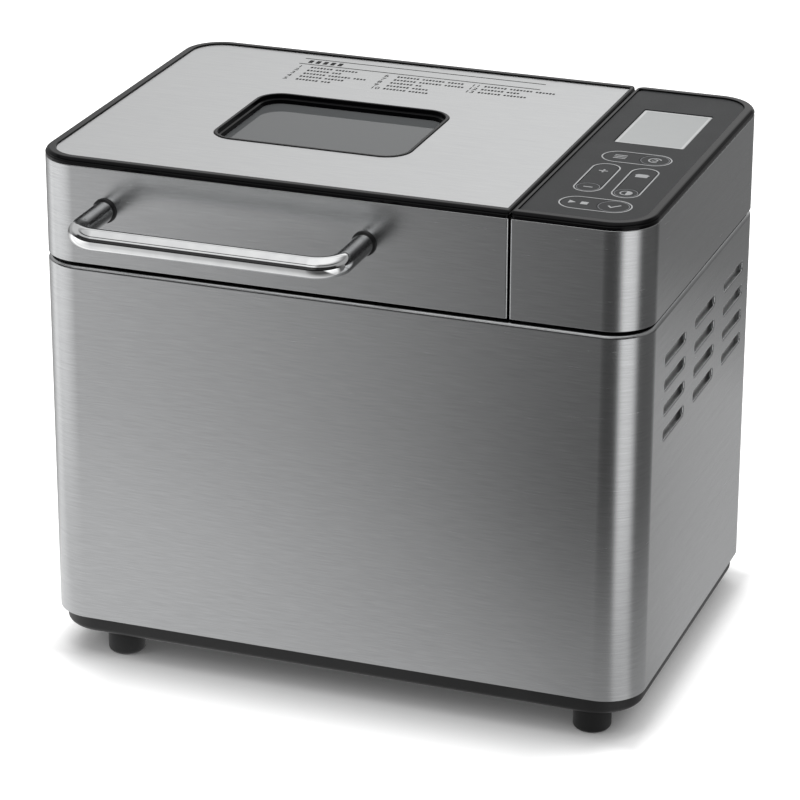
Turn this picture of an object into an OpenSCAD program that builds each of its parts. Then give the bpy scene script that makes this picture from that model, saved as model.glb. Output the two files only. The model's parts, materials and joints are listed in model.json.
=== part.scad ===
/* [Body] */
// Width of the steel body
body_w = 350; // [344:1:380]
// Depth of the steel body
body_d = 236; // [232:1:256]
// Radius of the body's vertical corners
corner_r = 24; // [18:1:30]
// Height of the lower body's steel wall
shell_h = 214; // [210:1:226]
// Thickness of the steel sheet
sheet_t = 0.8; // [0.6:0.1:1.2]
// Radius of the rounded shoulder under the seam
shoulder_r = 4; // [2.5:0.5:5]
// Width of the flat flange inside the shoulder
shoulder_flange = 5; // [4:0.5:7]

/* [Base and feet] */
// Height of a rubber foot
foot_h = 14; // [11:1:18]
// Radius of a rubber foot
foot_r = 10.75; // [9.5:0.25:13]
// Distance of the right feet's middles in from the body's side
foot_right_in = 28; // [25:1:36]
// Distance of the left feet's middles in from the body's side
foot_left_in = 42; // [30:1:48]
// Distance of the feet's middles in from the body's front and back
foot_end_in = 17; // [17:1:22]
// Height of the black ring round the base
base_h = 10; // [8:1:14]
// How far the base ring stands in from the steel
base_inset = 2.5; // [1.5:0.5:4]
// Thickness of the base pan's floor
base_t = 3; // [2.4:0.2:4]
// Height of the lip that the steel wall is pushed over
lip_h = 10; // [8:1:14]

/* [Lid and tower] */
// Place of the gap between the lid and the control tower
split_x = 100; // [98:1:103]
// Width of that gap
split_gap = 1.2; // [1:0.1:2]
// Height of the dark seam between the upper section and the lower body
seam_h = 2; // [1.6:0.2:3]
// Height of the steel skirt round the lid and the tower
skirt_h = 56; // [54:1:62]
// Height of the black bead round the top
trim_h = 4; // [3:0.5:4.5]
// Width of the black bead round the top
trim_w = 6; // [5:0.5:8]
// Wall of the plastic lid frame and control housing
frame_t = 2; // [1.8:0.2:2.6]
// Distance of the hinge axis in from the back and up from the lid's edge
hinge_r = 7; // [6.6:0.2:8]
// Radius of the hinge pins
hinge_pin_r = 2.5; // [2:0.25:3]
// Width of each hinge lug
lug_w = 10; // [8:1:14]
// Distance of the left hinge lug's middle in from the body's side
lug_left_in = 45; // [42:1:60]
// Distance of the right hinge lug's middle in from the gap beside the tower
lug_right_in = 34; // [30:1:50]

/* [Window] */
// Middle of the window, to the right of the lid's middle
window_off = -2.5; // [-6:0.5:4]
// Middle of the window, behind the body's middle
window_y = -10.5; // [-14:0.5:-4]
// Width over the black window frame
window_w = 116; // [106:1:122]
// Depth over the black window frame
window_d = 89; // [82:1:94]
// Corner radius of the window frame
window_r = 15; // [11:1:20]
// Wall of the window frame
window_wall = 2.5; // [2:0.25:3.5]
// Depth from the top plate to the outer glass
glass_drop = 5; // [4:0.5:9.5]
// Thickness of each pane
glass_t = 3; // [2.5:0.5:3.5]

/* [Handle] */
// Middle of the handle, to the right of the lid's middle
handle_off = -18.7; // [-24:0.1:0]
// Distance between the two posts
handle_span = 150.6; // [130:1:165]
// Radius of the handle's tube
handle_r = 6; // [5:0.5:7]
// Distance of the tube's middle in front of the skirt
handle_reach = 44.5; // [34:0.5:50]
// Radius of the tube's bends
handle_bend = 14; // [11:1:18]
// Height of the handle above the skirt's lower edge
handle_up = 32.2; // [26:1:36]

/* [Controls] */
// Middle of the display, to the right of the tower's middle
lcd_off = -1.5; // [-3:0.5:1]
// Distance of the display's middle behind the body's front
lcd_back = 165; // [162:1:172]
// Width of the display's opening
lcd_w = 40; // [34:1:44]
// Depth of the display's opening
lcd_d = 62; // [54:1:64]
// Travel of a key
key_travel = 0.5; // [0.3:0.1:0.6]
// Gap round each key
key_gap = 0.35; // [0.3:0.05:0.5]

/* [Vents] */
// Columns of vent slots
vent_cols = 3; // [2:1:3]
// Rows of vent slots
vent_rows = 4; // [2:1:5]
// Length of a vent slot
vent_l = 40; // [30:1:44]
// Height of a vent slot
vent_h = 6; // [4:0.5:7]
// Distance of the first column's slots behind the body's front
vent_front = 42.8; // [38:0.2:50]
// Distance of the last column's slots in front of the body's back
vent_back = 34.2; // [32:0.2:44]
// Distance from one row to the next
vent_pitch_z = 14.5; // [12:0.5:16]
// Distance of the top row below the seam
vent_drop = 27.5; // [22:0.5:36]

/* [Cord inlet] */
// Distance of the cord inlet in from the body's right side
gland_in = 39; // [36:1:60]
// Height of the cord inlet above the steel wall's lower edge
gland_up = 26; // [24:1:40]
// Radius of the cord inlet's sleeve
gland_r = 9; // [7.5:0.5:11]
// Radius of the hole for the cord
gland_bore_r = 3.9; // [3:0.1:4.5]
// How far the cord inlet's collar stands out of the back
gland_out = 2.5; // [1.5:0.5:4]

/* [Chamber] */
// Inner width of the chamber
chamber_w = 220; // [216:1:222]
// Inner depth of the chamber
chamber_d = 172; // [168:1:176]
// Corner radius of the chamber
chamber_r = 20; // [16:1:26]
// Height of the chamber's floor above the base pan's underside
chamber_up = 70; // [70:1:74]
// Gap between the chamber and its heat shield
shield_gap = 7; // [5:1:8]
// Radius of the heating element's tube
element_r = 3.2; // [2.5:0.1:3.5]

/* [Pan] */
// Width of the bread pan
pan_w = 174; // [164:1:176]
// Depth of the bread pan
pan_d = 122; // [112:1:124]
// Corner radius of the pan
pan_r = 22; // [18:1:28]
// Height of the bread pan
pan_h = 130; // [116:1:131]
// Wall of the bread pan
pan_t = 1.2; // [1:0.1:1.6]
// Radius of the bail's wire
bail_r = 2.5; // [2:0.25:3]
// Length of the kneading paddle from the shaft's middle
paddle_l = 34; // [26:1:40]

/* [Drive] */
// Radius of the motor
motor_r = 34; // [30:1:36]
// Height of the motor's housing
motor_h = 58; // [50:1:64]
// Pitch radius of the large pulley
pulley_r = 60; // [52:1:64]
// Pitch radius of the motor's pulley
pinion_r = 12; // [10:0.5:14]
// Radius of the drive shaft, the kneading shaft and the motor shaft
shaft_r = 4; // [3.5:0.25:4.5]
// Radial running clearance of shafts and pins
fit = 0.05; // [0.03:0.01:0.1]

/* [Hidden] */
$fn = 64;

// Heights, counted up from the surface that the feet stand on
base_z = foot_h;
shell_z = base_z + base_h;
deck_z = shell_z + shell_h;
skirt_z = deck_z + seam_h;
trim_z = skirt_z + skirt_h;
top_z = trim_z + trim_h;
floor_z = base_z + base_t;
chamber_z = base_z + chamber_up;
hinge_z = skirt_z + hinge_r;
hinge_y = body_d / 2 - hinge_r;

// The gap between two sheets or boxes that only pass each other
clear = 0.3;
// Play between parts that are pushed together by hand
slip = 0.2;

// Screws: the M4 ones, their heads, the small board screws, and how tight a thread's hole is
screw_r = 2;
screw_head_r = 3.6;
screw_head_h = 2.4;
screw_slot = 0.9;
small_screw_r = 1.4;
small_head_r = 2.6;
small_head_h = 1.6;
small_screw_l = 7;
thread = 0.02;

// Base pan
base_edge = 3;
base_corner_out = 2;
base_rim_w = 8;
base_floor_in = 12;
base_lip_t = 4;
foot_edge = 2.5;
foot_boss_t = 5;
foot_boss_h = 9;
foot_head_drop = 5;
air_slots = 4;
air_slot_pitch = 14;
air_slot_in = 44;
air_slot_w = 5;
air_slot_l = 40;
shell_screw_x = [-120, -40, 40];
shell_screw_bite = 6;

// Deck, lid and tower
deck_t = 4;
deck_top = deck_z - sheet_t;
upstand_h = 10;
upstand_t = 2;
upstand_in = shoulder_r + shoulder_flange + clear;
liner_t = 0.8;
liner_up = 0.6;
dome_in = 2;
gasket_w = 7;
ledge_w = 6;
plate_drop = 0.8;
plate_t = 0.8;
lug_wall = 0.6;
pin_bite = 12;
wire_gap_in = 14;
wire_gap_w = 44;
wire_gap_d = 150;
collar_t = 1.2;
collar_out = 1;
handle_bite = 11;
flange_out = 4;
flange_w = 5;
flange_t = 2;
baffle_t = 1.2;
baffle_stand = 3;
baffle_out = 6;
gland_sleeve = 12;
gland_nut_t = 2.4;
gland_neck = 0.8 * gland_r;
gland_grip = 2.5;
gland_flange = 3.5;

// The body stands behind the handle, so that the origin is under the middle of the whole object
centre_y = (handle_reach + handle_r - gland_out) / 2;

// The lid's plan and the tower's plan share the body's, cut at the split
lid_right = split_x - split_gap / 2;
tower_left = split_x + split_gap / 2;
lid_middle = (split_x - body_w / 2) / 2;
tower_middle = (split_x + body_w / 2) / 2;
front_y = -body_d / 2;
window_x = lid_middle + window_off;
handle_x = lid_middle + handle_off;
lug_x = [-body_w / 2 + lug_left_in, split_x - lug_right_in];
gland_at = [body_w / 2 - gland_in, shell_z + gland_up];
vent_pitch_y = (body_d - vent_front - vent_back - vent_l) / max(vent_cols - 1, 1);
vent_y = (vent_front - vent_back) / 2;

// The steel behind the hinge stops here, where the barrel has curved in past the sheet
barrel_skirt = hinge_z + sqrt(2 * hinge_r * sheet_t) + 0.2;

// The window's depths
glass_z = top_z - plate_drop - glass_drop - glass_t;
pane_ledge = 4;
pane_fit = 0.3;
inner_glass_z = glass_z - pane_ledge - glass_t;
liner_top = inner_glass_z;

// The chamber, in the middle under the lid, and the pan
chamber_x = lid_middle;
chamber_top = deck_top - deck_t;
chamber_mouth = 6;
pan_up = 17;
pan_z = chamber_z + pan_up;
hub_r = 9;
hub_low = pan_z - 5;
hub_top = pan_z + pan_t + 7;
shaft_flat = 1;
pan_rim_r = 2.2;
pan_rim_out = 1;
bail_drop = 9;
bail_z = pan_z + pan_h - bail_drop;
bail_side = pan_w / 2 + pan_rim_out + pan_rim_r + bail_r + 1.3;
bail_front = pan_d / 2 + pan_rim_out + pan_rim_r + bail_r + 2.3;
bail_bend = 15;
bail_elbow = 4;
ear_t = 2.4;
ear_w = 16;
ear_h = 10;
rest_w = 12;
element_up = 10;
element_in = 3.8;
element_z = chamber_z + element_up;
element_x = chamber_w / 2 - element_r - element_in;
element_y = chamber_d / 2 - element_r - element_in;
element_bend = 18;
element_gap = 14;
terminal_bend = 6;
terminal_out = 22;
bush_wall = 2.2;
bush_hole_r = element_r + bush_wall;
bush_flange = 2.4;
bush_flange_t = 3;
bush_in = 1;
clip_x = 60;
clip_w = 8;
clip_t = 1.2;
probe_off = 50;
probe_up = 60;
probe_x = chamber_x + probe_off;
probe_z = chamber_z + probe_up;
probe_r = 3;
probe_in = 12;
probe_out = 14;
fuse_y = 46;
fuse_up = 70;
fuse_r = 7;
fuse_t = 2.5;
socket_r = 44;
socket_t = 4;
socket_h = 10;
socket_floor = 1.5;
socket_hole_r = 24;
socket_flange = 6;
slot_w = 26;
tab_w = 10;
tab_t = 4;
tab_up = 5.5;

// The drive, from the bottom up. The motor stands midway between the heat shield and the wall
pulley_up = 13;
pulley_z = floor_z + pulley_up;
pulley_h = 10;
groove = 2;
belt_t = 3;
pulley_edge = 1;
rib_t = 3;
web_t = 2;
bracket_up = 9;
bracket_z = pulley_z + pulley_h + bracket_up;
bracket_t = 2;
bracket_lip = 9;
bracket_half = 52;
bracket_screw_l = 8;
post_r = 6;
housing_r = 12;
housing_low = 6;
housing_flange = 13;
housing_flange_t = 4;
housing_screw = 8;
housing_top = chamber_z - shield_gap - 3;
bush_r = 7;
bush_h = 9;
motor_z = bracket_z + bracket_t;
motor_waist = 3;
motor_band = 0.3;
motor_x = (chamber_x + chamber_w / 2 + shield_gap + body_w / 2 - sheet_t) / 2;
motor_screw_at = motor_r - 11;
bush_set = 2;
shaft_collar_r = shaft_r + 2.5;
coupler_r = 13;
coupler_up = 3;
coupler_t = 3.5;
prong_w = 8;
prong_in = 8.5;
wing_z = pan_z - 9.5;
wing_l = 24;
wing_w = 6;
wing_t = 3.5;
stub_h = 34;
fan_r = motor_r - 5;
fan_z = motor_z + motor_h + 2;
fan_h = 8;
fan_blade = 1.6;
paddle_h = 32;
paddle_t = 4.4;
paddle_foot = 8;
paddle_boss_h = 24;
paddle_boss_t = 4.5;
drive_length = motor_x - chamber_x;
belt_lean = asin((pulley_r - pinion_r) / drive_length);

// Control parts. A pill is its middle from the tower's middle and the body's front, and its sizes
panel_z = top_z - plate_drop;
panel_t = 3;
board_drop = 15;
board_z = panel_z - board_drop;
board_t = 1.6;
board_end_in = 13;
board_left_in = 3;
board_right_in = 5;
board_post_r = 3.2;
board_post_in = 6;
switch_w = 6;
switch_body = 3.4;
switch_h = 5;
button_r = 1.7;
plunger_r = 2.5;
lens_drop = 0.5;
lens_t = 0.9;
lcd_x = tower_middle + lcd_off;
lcd_y = front_y + lcd_back;
lcd_frame = 1.5;
lcd_rebate = 2;
pills = [
    [-0.7, 109.5, 37.5, 17],
    [-11.7, 71.5, 14, 47],
    [10.3, 69.5, 14, 49],
    [0.5, 29, 38, 18]
];
key_pills = [for (p = pills) [tower_middle + p[0], front_y + p[1], p[2], p[3]]];
board_left = tower_left + frame_t + board_left_in;
board_right = body_w / 2 - sheet_t - frame_t - board_right_in;
board_end = body_d / 2 - board_end_in;
board_posts = [
    for (x = [board_left + board_post_in, board_right - board_post_in], s = [-1, 1])
        [x, s * (board_end - board_post_in)]
];

// Power parts: the board stands in front of the motor, the capacitor behind it
power_up = 7;
power_z = floor_z + power_up;
power_in = 47;
power_w = 66;
power_d = 38;
power_front_in = 45;
power_post_r = 3.4;
power_post_in = 5;
power_at = [body_w / 2 - power_in, front_y + power_front_in];
power_posts = [
    for (sx = [-1, 1], sy = [-1, 1])
        power_at + [sx * (power_w / 2 - power_post_in), sy * (power_d / 2 - power_post_in)]
];
coil_w = 24;
coil_d = 26;
coil_h = 20;
coil_x = -22;
core_in = 3;
core_h = 14;
relay_w = 18;
relay_d = 14;
relay_h = 16;
relay_at = [6, -17];
fuse_block = [5, 14, 8];
fuse_base = [20, 3, 5];
fuse_at = [6, 3];
smoother_at = [[15, 12], [21.5, 12]];
smoother_r = 3;
smoother_h = 13;
capacitor_r = 13;
capacitor_h = 48;
capacitor_cup_t = 2.5;
capacitor_cup_h = 8;
capacitor_back_in = 40;
capacitor_at = [power_at[0], body_d / 2 - capacitor_back_in];
tag_t = 0.8;
tag_w = 4;
tag_h = 8;

// Posts that carry the drive bracket: left of the large pulley, beside the belt, beside the motor
post_gap = 10;
post_left_y = 36;
post_right_y = 44;
post_belt_x = motor_x - motor_r * 2;
post_motor_x = motor_x + motor_r - 2;
post_left_x = chamber_x - pulley_r - post_r - post_gap;
bracket_posts = [
    for (s = [-1, 1]) [post_left_x, s * post_left_y],
    for (x = [post_belt_x, post_motor_x], s = [-1, 1]) [x, s * post_right_y]
];
feet_at = [
    for (s = [-1, 1], x = [-body_w / 2 + foot_left_in, body_w / 2 - foot_right_in])
        [x, s * (body_d / 2 - foot_end_in)]
];

// ---- Plans and sections ----

// Moves the body back behind the handle
module placed() {
    translate([0, centre_y, 0]) children();
}

// A rectangle with round corners, about the middle
module round_rect(w, d, r) {
    square([w - 2 * r, d], center = true);
    square([w, d - 2 * r], center = true);
    for (sx = [-1, 1], sy = [-1, 1])
        translate([sx * (w / 2 - r), sy * (d / 2 - r)]) circle(r);
}

// An upright prism with round corners
module round_block(w, d, r, h) {
    linear_extrude(h) round_rect(w, d, r);
}

// An upright tube with round corners, wall t, measured over its outside
module round_tube(w, d, r, t, h) {
    linear_extrude(h) difference() {
        round_rect(w, d, r);
        round_rect(w - 2 * t, d - 2 * t, max(r - t, 0.6));
    }
}

// The body's plan, moved in all round
module body_plan(inset) {
    round_rect(body_w - 2 * inset, body_d - 2 * inset, corner_r - inset);
}

// The lid's plan: the body's plan to the left of the gap
module lid_plan(inset, side_inset) {
    intersection() {
        body_plan(inset);
        translate([-body_w, -body_d])
            square([body_w + lid_right - side_inset, 2 * body_d]);
    }
}

// The control tower's plan: the body's plan to the right of the gap
module tower_plan(inset, side_inset) {
    intersection() {
        body_plan(inset);
        translate([tower_left + side_inset, -body_d]) square([body_w, 2 * body_d]);
    }
}

// One straight stretch of a rail
module rail_side(reach, length) {
    translate([reach, length / 2, 0]) rotate([90, 0, 0]) linear_extrude(length) children();
}

// Carries a section round a rounded rectangle. In the section, x runs outward and y upward
module rail(w, d, r) {
    for (i = [0 : 3]) {
        odd = i % 2;
        rotate(i * 90) {
            rail_side((odd == 0 ? w : d) / 2, (odd == 0 ? d : w) - 2 * r) children();
            translate([(odd == 0 ? w : d) / 2 - r, (odd == 0 ? d : w) / 2 - r, 0])
                rotate_extrude(angle = 90) translate([r, 0]) children();
        }
    }
}

// A quarter of a round edge, whose middle is at the origin
module quarter(r) {
    intersection() {
        circle(r);
        square(r);
    }
}

// A straight round bar from one point to another in the same plane
module bar_between(p, q, r) {
    run = q - p;
    translate(p) rotate([0, 90, atan2(run[1], run[0])]) cylinder(r = r, h = norm(run));
}

// A bend of a round bar in the plane, from one angle onward
module bar_bend(middle, bend, r, from, turn) {
    translate(middle) rotate(from) rotate_extrude(angle = turn) translate([bend, 0]) circle(r);
}

// A cross-head screw whose head's underside is at the origin, pointing up
module screw(length) {
    cross = screw_head_r * 1.2;
    translate([0, 0, -screw_head_h]) difference() {
        cylinder(r = screw_head_r, h = screw_head_h);
        for (a = [0, 90]) rotate(a)
            translate([-cross / 2, -screw_slot / 2, -1]) cube([cross, screw_slot, screw_head_h / 2 + 1]);
    }
    cylinder(r = screw_r, h = length);
}

// A small screw of the same kind, without its cross
module small_screw() {
    translate([0, 0, -small_head_h]) cylinder(r = small_head_r, h = small_head_h);
    cylinder(r = small_screw_r, h = small_screw_l);
}

// ---- Base ----

module base_pan() {
    ring_w = body_w - 2 * base_inset;
    ring_d = body_d - 2 * base_inset;
    ring_r = corner_r + base_corner_out;
    lip_out = sheet_t + slip;
    color("#1c1c1e") difference() {
        union() {
            translate([0, 0, base_z]) rail(ring_w, ring_d, ring_r) union() {
                translate([-base_rim_w - ring_r / 2, 0])
                    square([base_rim_w + ring_r / 2 - base_edge, base_h]);
                translate([-base_edge - 0.01, base_edge]) square([base_edge + 0.01, base_h - base_edge]);
                translate([-base_edge, base_edge]) mirror([0, 1]) quarter(base_edge);
            }
            translate([0, 0, base_z]) round_block(
                ring_w - 2 * base_floor_in, ring_d - 2 * base_floor_in, ring_r - base_floor_in, base_t
            );
            translate([0, 0, shell_z]) linear_extrude(lip_h) difference() {
                body_plan(lip_out);
                body_plan(lip_out + base_lip_t);
            }
            for (p = feet_at) base_post(p, screw_r + foot_boss_t, base_t + foot_boss_h);
            for (p = bracket_posts) base_post(p, post_r, bracket_z - base_z);
            for (p = power_posts) base_post(p, power_post_r, power_z - base_z);
            base_post(capacitor_at, capacitor_r + capacitor_cup_t, base_t + capacitor_cup_h);
        }
        for (p = feet_at)
            translate([p[0], p[1], base_z - 1]) cylinder(r = screw_r + thread, h = foot_boss_h + 2);
        for (p = bracket_posts)
            translate([p[0], p[1], bracket_z - 12]) cylinder(r = screw_r + thread, h = 13);
        for (p = power_posts)
            translate([p[0], p[1], power_z - 8]) cylinder(r = small_screw_r + thread, h = 9);
        translate([capacitor_at[0], capacitor_at[1], floor_z])
            cylinder(r = capacitor_r + slip, h = capacitor_cup_h + 1);
        shell_screw_holes(screw_r + thread);
        for (i = [-air_slots : air_slots])
            translate([chamber_x + i * air_slot_pitch, front_y + air_slot_in, base_z - 1])
                round_block(air_slot_w, air_slot_l, air_slot_w / 2 - 0.1, base_t + 2);
    }
}

// A round post that stands on the base pan's underside level
module base_post(p, r, h) {
    translate([p[0], p[1], base_z]) cylinder(r = r, h = h);
}

module feet() {
    color("#202022") for (p = feet_at) translate([p[0], p[1], 0]) difference() {
        rotate_extrude() union() {
            translate([0, foot_edge]) square([foot_r, foot_h - foot_edge]);
            square([foot_r - foot_edge, foot_edge + 0.01]);
            translate([foot_r - foot_edge, foot_edge]) mirror([0, 1]) quarter(foot_edge);
        }
        translate([0, 0, -1]) cylinder(r = screw_head_r + 1.4, h = foot_h - foot_head_drop + 1);
        cylinder(r = screw_r + slip, h = foot_h + 1);
    }
}

// Places the screws that hold the steel wall's rear lower edge to the base pan
module shell_screw_places() {
    for (x = shell_screw_x)
        translate([x, body_d / 2, shell_z + lip_h / 2]) rotate([90, 0, 0]) children();
}

module shell_screw_holes(r) {
    shell_screw_places() translate([0, 0, -1]) cylinder(r = r, h = sheet_t + shell_screw_bite + 2);
}

module case_screws() {
    color("#b9bbbe") {
        for (p = feet_at)
            translate([p[0], p[1], foot_h - foot_head_drop]) screw(foot_head_drop + foot_boss_h - 1);
        shell_screw_places() screw(sheet_t + shell_screw_bite);
    }
}

// ---- Lower body ----

// Puts something at each vent slot, on the inside of the right wall
module vent_places() {
    for (c = [0 : vent_cols - 1], r = [0 : vent_rows - 1])
        translate([
            body_w / 2,
            (c - (vent_cols - 1) / 2) * vent_pitch_y + vent_y,
            shell_z + shell_h - vent_drop - r * vent_pitch_z
        ]) children();
}

// A slot with round ends, through a wall that faces +X
module vent_slot(grow) {
    r = vent_h / 2 + grow;
    half = vent_l / 2 - vent_h / 2;
    translate([-6, 0, 0]) rotate([90, 0, 90]) linear_extrude(12) {
        square([2 * half, 2 * r], center = true);
        for (s = [-1, 1]) translate([s * half, 0]) circle(r);
    }
}

module body_shell() {
    wall = shell_h - shoulder_r;
    color("#a9abad") difference() {
        translate([0, 0, shell_z]) rail(body_w, body_d, corner_r) union() {
            translate([-sheet_t, 0]) square([sheet_t, wall]);
            translate([-shoulder_r, wall]) difference() {
                quarter(shoulder_r);
                circle(shoulder_r - sheet_t);
            }
            translate([-shoulder_r - shoulder_flange, shell_h - sheet_t])
                square([shoulder_flange, sheet_t]);
        }
        vent_places() vent_slot(0);
        hinge_lug_places() translate([0, -hinge_r - 1, deck_z - hinge_z - 4])
            translate([-lug_w / 2 - clear, 0, 0]) cube([lug_w + 2 * clear, 2 * hinge_r, 10]);
        shell_screw_holes(screw_r + slip);
        gland_place() cube([2 * (gland_neck + slip), 2 * (gland_neck + slip), 10], center = true);
    }
}

module gland_place() {
    translate([gland_at[0], body_d / 2, gland_at[1]]) rotate([-90, 0, 0]) children();
}

// The grey louvre behind the vents, with a frame that stands against the steel
module vent_baffle() {
    span_y = (vent_cols - 1) * vent_pitch_y + vent_l + 2 * baffle_out;
    span_z = (vent_rows - 1) * vent_pitch_z + vent_h + 2 * baffle_out;
    middle_z = shell_z + shell_h - vent_drop - (vent_rows - 1) * vent_pitch_z / 2;
    rib = 2;
    color("#8d8f91") translate([body_w / 2 - sheet_t - baffle_stand - baffle_t, vent_y, middle_z])
        rotate([90, 0, 90]) {
            linear_extrude(baffle_t) square([span_y, span_z], center = true);
            linear_extrude(baffle_t + baffle_stand) difference() {
                square([span_y, span_z], center = true);
                square([span_y - 2 * rib, span_z - 2 * rib], center = true);
            }
            if (vent_cols > 1) for (c = [0 : vent_cols - 2])
                translate([(c - (vent_cols - 2) / 2) * vent_pitch_y - rib / 2, rib - span_z / 2, 0])
                    cube([rib, span_z - 2 * rib, baffle_t + baffle_stand]);
        }
}

// The cord's bush, with a square neck that keeps it from turning in the steel wall
module cord_gland() {
    color("#222224") gland_place() difference() {
        union() {
            cylinder(r = gland_r + gland_flange, h = gland_out);
            translate([0, 0, -gland_sleeve]) cylinder(r = gland_r, h = gland_sleeve - sheet_t);
            translate([0, 0, -sheet_t - gland_nut_t]) cylinder(r = gland_r + gland_grip, h = gland_nut_t);
            cube([2 * gland_neck, 2 * gland_neck, 2 * sheet_t + 2], center = true);
        }
        translate([0, 0, -gland_sleeve - 1]) cylinder(r = gland_bore_r, h = gland_sleeve + gland_out + 2);
    }
}

// Puts something at each hinge lug, on the hinge's axis
module hinge_lug_places() {
    for (x = lug_x) translate([x, hinge_y, hinge_z]) children();
}

module top_deck() {
    lug_r = hinge_r - lug_wall;
    hole_w = chamber_w + 2 * sheet_t + 2 * slip;
    hole_d = chamber_d + 2 * sheet_t + 2 * slip;
    color("#1d1d1f") difference() {
        union() {
            difference() {
                translate([0, 0, chamber_top]) linear_extrude(deck_t)
                    body_plan(max(sheet_t, shoulder_r) + clear);
                translate([chamber_x, 0, chamber_top - 1])
                    round_block(hole_w, hole_d, chamber_r + sheet_t + slip, deck_t + 2);
                translate([tower_left + wire_gap_in, -wire_gap_d / 2, chamber_top - 1])
                    cube([wire_gap_w, wire_gap_d, deck_t + 2]);
            }
            translate([0, 0, deck_top]) linear_extrude(upstand_h) difference() {
                tower_plan(upstand_in, frame_t + clear);
                tower_plan(upstand_in + upstand_t, frame_t + clear + upstand_t);
            }
            hinge_lug_places() rotate([90, 0, 90]) linear_extrude(lug_w, center = true) {
                circle(lug_r);
                translate([-lug_r, deck_top - hinge_z]) square([2 * lug_r, hinge_z - deck_top]);
                translate([-lug_r - 4, deck_top - hinge_z]) square([6, 4]);
            }
        }
        hinge_lug_places() rotate([0, 90, 0])
            cylinder(r = hinge_pin_r + thread, h = lug_w + 2, center = true);
    }
}

module hinge_pins() {
    color("#c4c6c8") hinge_lug_places() rotate([0, 90, 0])
        cylinder(r = hinge_pin_r, h = lug_w + 2 * pin_bite, center = true);
}

// ---- Oven ----

module chamber() {
    depth = chamber_top + deck_t - chamber_z;
    color("#8f9194") difference() {
        translate([chamber_x, 0, chamber_z]) {
            round_tube(
                chamber_w + 2 * sheet_t, chamber_d + 2 * sheet_t, chamber_r + sheet_t,
                sheet_t, depth
            );
            round_block(
                chamber_w + 2 * sheet_t, chamber_d + 2 * sheet_t, chamber_r + sheet_t, sheet_t
            );
            translate([0, 0, depth]) round_tube(
                chamber_w + 2 * chamber_mouth, chamber_d + 2 * chamber_mouth,
                chamber_r + chamber_mouth, chamber_mouth, sheet_t
            );
        }
        translate([chamber_x, 0, chamber_z - 1]) cylinder(r = shaft_r + 6, h = 4);
        for (s = [-1, 1])
            translate([chamber_x + chamber_w / 2 - 2, s * element_gap, element_z])
                rotate([0, 90, 0]) cylinder(r = bush_hole_r, h = 6);
        translate([probe_x, chamber_d / 2 - 2, probe_z])
            rotate([-90, 0, 0]) cylinder(r = probe_r + slip, h = 6);
    }
}

module heat_shield() {
    w = chamber_w + 2 * shield_gap;
    d = chamber_d + 2 * shield_gap;
    r = chamber_r + shield_gap;
    low = chamber_z - shield_gap;
    color("#b4b6b2") difference() {
        translate([chamber_x, 0, low]) {
            round_tube(w, d, r, sheet_t, chamber_top - low);
            round_block(w, d, r, sheet_t);
        }
        translate([chamber_x, 0, low - 1]) cylinder(r = housing_r + 4, h = 4);
        translate([chamber_x + w / 2 - 4, -element_gap - 9, element_z - 9])
            cube([8, 2 * element_gap + 18, 18]);
        translate([probe_x, d / 2 - 4, probe_z]) rotate([-90, 0, 0]) cylinder(r = probe_r + 3, h = 8);
    }
}

// A round heating rod in one plane: a loop with two terminals to the right
module heating_element() {
    color("#55565a") translate([chamber_x, 0, element_z]) for (s = [-1, 1]) mirror([0, s < 0 ? 1 : 0]) {
        turn = [element_x - element_bend, element_y - element_bend];
        bar_between([element_x + terminal_out, element_gap],
            [element_x + terminal_bend, element_gap], element_r);
        bar_bend([element_x + terminal_bend, element_gap + terminal_bend], terminal_bend,
            element_r, 180, 90);
        bar_between([element_x, element_gap + terminal_bend], [element_x, turn[1]], element_r);
        bar_bend(turn, element_bend, element_r, 0, 90);
        bar_between([turn[0], element_y], [-turn[0], element_y], element_r);
        bar_bend([-turn[0], turn[1]], element_bend, element_r, 90, 90);
        bar_between([-element_x, turn[1]], [-element_x, 0], element_r);
    }
}

module element_bushes() {
    color("#e8e4da") for (s = [-1, 1])
        translate([chamber_x + chamber_w / 2, s * element_gap, element_z]) rotate([0, 90, 0]) difference() {
            union() {
                translate([0, 0, sheet_t]) cylinder(r = bush_hole_r + bush_flange, h = bush_flange_t);
                translate([0, 0, -bush_in]) cylinder(r = bush_hole_r - fit, h = bush_in + sheet_t + 1);
            }
            translate([0, 0, -bush_in - 1])
                cylinder(r = element_r + fit, h = bush_in + sheet_t + bush_flange_t + 2);
        }
}

// Four cradles that stand on the chamber's floor and hold the heating rod
module element_clips() {
    low = chamber_z + sheet_t;
    color("#a4a6a8") for (x = [-clip_x, clip_x], s = [-1, 1])
        translate([chamber_x + x, s * element_y, low]) difference() {
            translate([-clip_w / 2, -element_r - clip_t, 0])
                cube([clip_w, 2 * element_r + 2 * clip_t, element_z - low + 1]);
            translate([0, 0, element_z - low]) rotate([0, 90, 0])
                cylinder(r = element_r + fit, h = 2 * clip_w, center = true);
        }
}

module temperature_probe() {
    color("#c9cbcd") translate([probe_x, chamber_d / 2, probe_z]) rotate([90, 0, 0]) {
        translate([0, 0, -probe_out]) cylinder(r = probe_r, h = probe_out + probe_in);
        translate([0, 0, -sheet_t - 2]) cylinder(r = probe_r + 2.6, h = 2);
    }
}

module thermal_fuse() {
    side = chamber_x + chamber_w / 2 + shield_gap;
    body = 4;
    color("#d8d2c4") translate([side, fuse_y, chamber_z + fuse_up]) rotate([0, 90, 0]) {
        cylinder(r = fuse_r, h = fuse_t);
        translate([0, 0, fuse_t]) cylinder(r = fuse_r - 1.5, h = body);
        for (s = [-1, 1]) translate([-tag_w / 2, s * 3 - tag_t / 2, fuse_t + body])
            cube([tag_w, tag_t, tag_h / 2]);
    }
}

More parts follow.
